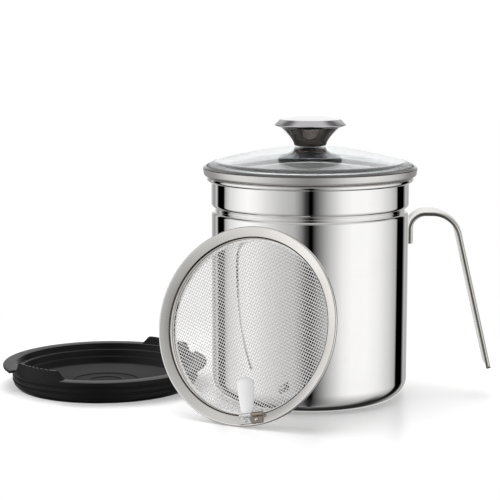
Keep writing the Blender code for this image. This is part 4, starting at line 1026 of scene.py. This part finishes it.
def make_storage_lid():
    """The moulded storage lid: a turned body, the flange cut at two places, and two ribbed grips."""
    lid = lathe("moulded_lid", store_outline())
    flange_low = STORE_HEIGHT - STORE_FLANGE
    reach = STORE_RADIUS + STORE_OVERRUN
    strip_high = STORE_HEIGHT + STORE_OVERRUN / 2
    strip_low = flange_low - STORE_OVERRUN / 2
    foot_half = GRIP_RADIUS * sin(GRIP_FOOT_SPAN)
    top_half = GRIP_RADIUS * sin(GRIP_TOP_SPAN)
    grip_top = STORE_HEIGHT + GRIP_HEIGHT
    strip = lathe("flange_strip", [(GRIP_RADIUS, strip_high), (reach, strip_high), (reach, strip_low),
                                   (GRIP_RADIUS, strip_low)], closed=True)
    combine(strip, grip_bar("flange_span", foot_half, foot_half, flange_low - STORE_OVERRUN,
                            STORE_HEIGHT + STORE_OVERRUN), "INTERSECT")
    combine(lid, strip, "DIFFERENCE")
    wall = lathe("grip_wall", rounded([(GRIP_RADIUS - GRIP_WALL, flange_low - STORE_OVERRUN, 0.0),
                                       (GRIP_RADIUS - GRIP_WALL, grip_top, LARGE_FILLET),
                                       (GRIP_RADIUS, grip_top, LARGE_FILLET),
                                       (GRIP_RADIUS, flange_low - STORE_OVERRUN, 0.0)]), closed=True)
    combine(wall, grip_bar("grip_span", foot_half, top_half, flange_low, grip_top + STORE_OVERRUN), "INTERSECT")
    combine(lid, wall, "UNION")
    pitch = 2 * GRIP_TOP_SPAN / (GRIP_GROOVES + 1)
    for index in range(GRIP_GROOVES):
        turn = Matrix.Rotation(GRIP_BEARING + (index + 1) * pitch - GRIP_TOP_SPAN, 4, "Z")
        groove = rod("grip_groove", GRIP_GROOVE_WIDTH / 2, 2 * STORE_RADIUS + STORE_OVERRUN,
                     turn @ Matrix.Translation((0.0, 0.0, grip_top)), 2 * GRIP_GROOVE_DEPTH / GRIP_GROOVE_WIDTH)
        combine(lid, groove, "DIFFERENCE")
    place(lid, Matrix.Translation(STORE_PLACE))
    belongs(lid, "storage_lid", "black_plastic", PLASTIC, "storage_lid", mirrored=False)
    partly(lid, PLASTIC_FLOOR, lambda face: face.normal.z > 0.7 and face.center.z < STORE_HEIGHT / 2)


make_pot()
make_handle()
make_glass()
make_band()
make_knob()
make_hardware()
make_ring()
make_wires("warp_wires", 0.0, WARP_PITCH, WEFT_PITCH, 0.0)
make_wires("weft_wires", pi / 2, WEFT_PITCH, WARP_PITCH, WEFT_PITCH)
make_tab()
make_storage_lid()

for node, material in (("knob_insert", BRASS), ("tab_bracket", BRACKET_STEEL), ("tab_pin", HARDWARE_STEEL)):
    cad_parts[node].material_slots[0].material = material


# Studio: grey levels by angle from the front, then spans of height or nearness over which it changes

LEFT_STUDIO = ((0, 0.0), (5, 0.06), (11, 0.27), (18, 0.45), (33, 0.56), (50, 0.74), (63, 0.91), (76, 1.0),
               (88, 0.93), (106, 0.72), (115, 0.45), (118, 0.0), (133, 0.0), (138, 0.62), (142, 0.42),
               (148, 0.28), (160, 0.55), (168, 0.95), (180, 1.0))
RIGHT_STUDIO = ((0, 0.0), (3, 0.0), (9, 0.15), (16, 0.33), (23, 0.52), (38, 0.86), (50, 0.97), (70, 0.98),
                (87, 0.88), (108, 0.62), (119, 0.42), (122, 0.0), (138, 0.0), (141, 0.18), (146, 0.50),
                (154, 0.40), (162, 0.5), (170, 0.95), (180, 1.0))
UPPER_STUDIO = ((0, 0.28), (35, 0.50), (60, 0.68), (85, 0.50), (105, 0.18), (120, 0.10), (145, 0.55), (156, 1.0),
                (180, 1.0))
UPPER_SPAN = (0.28, 0.60)
CEILING_SPAN = (0.80, 0.96)
SUNK_SPAN = (-0.25, -1.0)
SUNK_SHARE = 0.75
BEHIND_SPAN = (0.12, -0.30)
LOW_SPAN = (-0.45, -0.80)
HORIZON_SPAN = (0.42, 0.30)
CEILING = (0.56, 0.55, 0.56, 1.0)
SUNK = (0.03, 0.03, 0.03, 1.0)
HIDDEN = (0.02, 0.02, 0.02, 1.0)
AMBIENT = (0.5, 0.5, 0.5, 1.0)
WHITE = (1.0, 1.0, 1.0, 1.0)
STUDIO_STRENGTH = 1.05
FLOOR_CENTRE = (-0.04, 0.0, -0.00005)
FLOOR_RADIUS = 2.5
FLOOR_GREY = (0.86, 0.86, 0.86)
FLOOR_GLOW = 0.12
FLOOR_SHIFT = (0.05, 0.0, 0.0)
FLOOR_SCALE = (0.66, 1.0, 1.0)
FLOOR_SPAN = (0.11, 0.26)
SOFTBOXES = (("high_softbox", (-0.15, 0.25, 1.3), (0.0, 0.0, 0.05), (1.4, 1.4), 16.0),
             ("left_softbox", (-1.1, -0.5, 0.6), (0.0, 0.0, 0.07), (0.8, 0.9), 4.0),
             ("right_softbox", (1.1, -0.5, 0.6), (0.0, 0.0, 0.07), (0.8, 0.9), 4.0))
CAMERA_PLACE = (0.0, -1.01917, 0.238535)
CAMERA_TURN = (radians(90.0 - 8.346), 0.0, radians(2.048))
CAMERA_LENS = 121.28
CAMERA_SENSOR = 36.0
CAMERA_NEAR = 0.01


def studio_wall(tree, turn, levels):
    """Grey levels of one part of the studio, by angle from the front."""
    wall = add(tree, "ValToRGB", {0: turn})
    ramp = wall.color_ramp
    ramp.elements.remove(ramp.elements[-1])
    for index, (angle, level) in enumerate(levels):
        stop = ramp.elements[0] if index == 0 else ramp.elements.new(angle / 180.0)
        stop.position = angle / 180.0
        stop.color = (level, level, level, 1.0)
    return wall.outputs[0]


def make_world():
    """White behind the object, and a studio of soft walls and dark cards in what is polished."""
    world = bpy.data.worlds.new("studio")
    bpy.context.scene.world = world
    world.use_nodes = True
    tree = world.node_tree
    tree.nodes.clear()
    x, y, z = add(tree, "SeparateXYZ", {0: add(tree, "TexCoord").outputs["Generated"]}).outputs
    towards = maths(tree, "MULTIPLY", y, -1.0)
    turn = ranged(tree, maths(tree, "ARCTAN2", maths(tree, "ABSOLUTE", x), towards), 0.0, pi)
    sides = blend(tree, maths(tree, "GREATER_THAN", x, 0.0), studio_wall(tree, turn, LEFT_STUDIO),
                  studio_wall(tree, turn, RIGHT_STUDIO))
    raised = blend(tree, eased(tree, z, *UPPER_SPAN), sides, studio_wall(tree, turn, UPPER_STUDIO))
    topped = blend(tree, eased(tree, z, *CEILING_SPAN), raised, CEILING)
    sunk = blend(tree, ranged(tree, z, *SUNK_SPAN, high=SUNK_SHARE), topped, SUNK)
    hidden = maths(tree, "MULTIPLY", eased(tree, towards, *BEHIND_SPAN), eased(tree, z, *LOW_SPAN))
    mirrored = blend(tree, hidden, sunk, HIDDEN)
    seen = add(tree, "LightPath").outputs
    horizon = eased(tree, maths(tree, "ABSOLUTE", z), *HORIZON_SPAN)
    clear = maths(tree, "MAXIMUM", seen["Is Camera Ray"],
                  maths(tree, "MULTIPLY", seen["Is Transmission Ray"], horizon))
    sharp = maths(tree, "MAXIMUM", seen["Is Glossy Ray"], seen["Is Transmission Ray"])
    shown = blend(tree, clear, blend(tree, sharp, AMBIENT, mirrored), WHITE)
    light = add(tree, "Background", {"Color": shown, "Strength": STUDIO_STRENGTH})
    tree.links.new(light.outputs[0], add(tree, "OutputWorld").inputs["Surface"])


def make_floor():
    """A pale floor that fades to white away from the object and keeps its shadow."""
    floor = started(bpy.ops.mesh.primitive_circle_add, "pale_floor", vertices=128, radius=FLOOR_RADIUS,
                    fill_type="NGON", location=FLOOR_CENTRE)
    bpy.ops.object.transform_apply(location=True, rotation=True, scale=True)
    made, tree, shader = finish("pale_floor", FLOOR_GREY, 0.30, 0.0, Specular_IOR_Level=0.4)
    glow = add(tree, "Emission", {"Color": WHITE, "Strength": FLOOR_GLOW})
    near = add(tree, "AddShader", {0: shader.outputs[0], 1: glow.outputs[0]})
    nearby = add(tree, "Mapping", {"Vector": coordinates(tree), "Location": FLOOR_SHIFT, "Scale": FLOOR_SCALE})
    distance = add(tree, "VectorMath", {0: nearby.outputs[0]}, operation="LENGTH").outputs["Value"]
    white = add(tree, "Emission", {"Color": WHITE, "Strength": 1.0})
    faded = add(tree, "MixShader", {0: eased(tree, distance, *FLOOR_SPAN), 1: near.outputs[0],
                                    2: white.outputs[0]})
    final = add(tree, "MixShader", {0: add(tree, "LightPath").outputs["Is Camera Ray"], 1: shader.outputs[0],
                                    2: faded.outputs[0]})
    tree.links.new(final.outputs[0], tree.nodes["Material Output"].inputs["Surface"])
    floor.data.materials.append(made)
    floor.visible_glossy = False


def make_light(name, location, target, size, power):
    """A soft square lamp that looks at a point."""
    lamp = started(bpy.ops.object.light_add, name, type="AREA", location=location)
    lamp.data.shape = "RECTANGLE"
    lamp.data.size, lamp.data.size_y = size
    lamp.data.energy = power
    lamp.rotation_euler = (Vector(target) - Vector(location)).to_track_quat("-Z", "Y").to_euler()
    lamp.visible_glossy = False


def make_camera():
    """The camera where the photograph was taken from."""
    camera = started(bpy.ops.object.camera_add, "Camera", location=CAMERA_PLACE, rotation=CAMERA_TURN)
    camera.data.sensor_width = CAMERA_SENSOR
    camera.data.lens = CAMERA_LENS
    camera.data.clip_start = CAMERA_NEAR
    bpy.context.scene.camera = camera


make_world()
make_floor()
for softbox in SOFTBOXES:
    make_light(*softbox)
make_camera()
bpy.context.scene.view_settings.view_transform = "Standard"
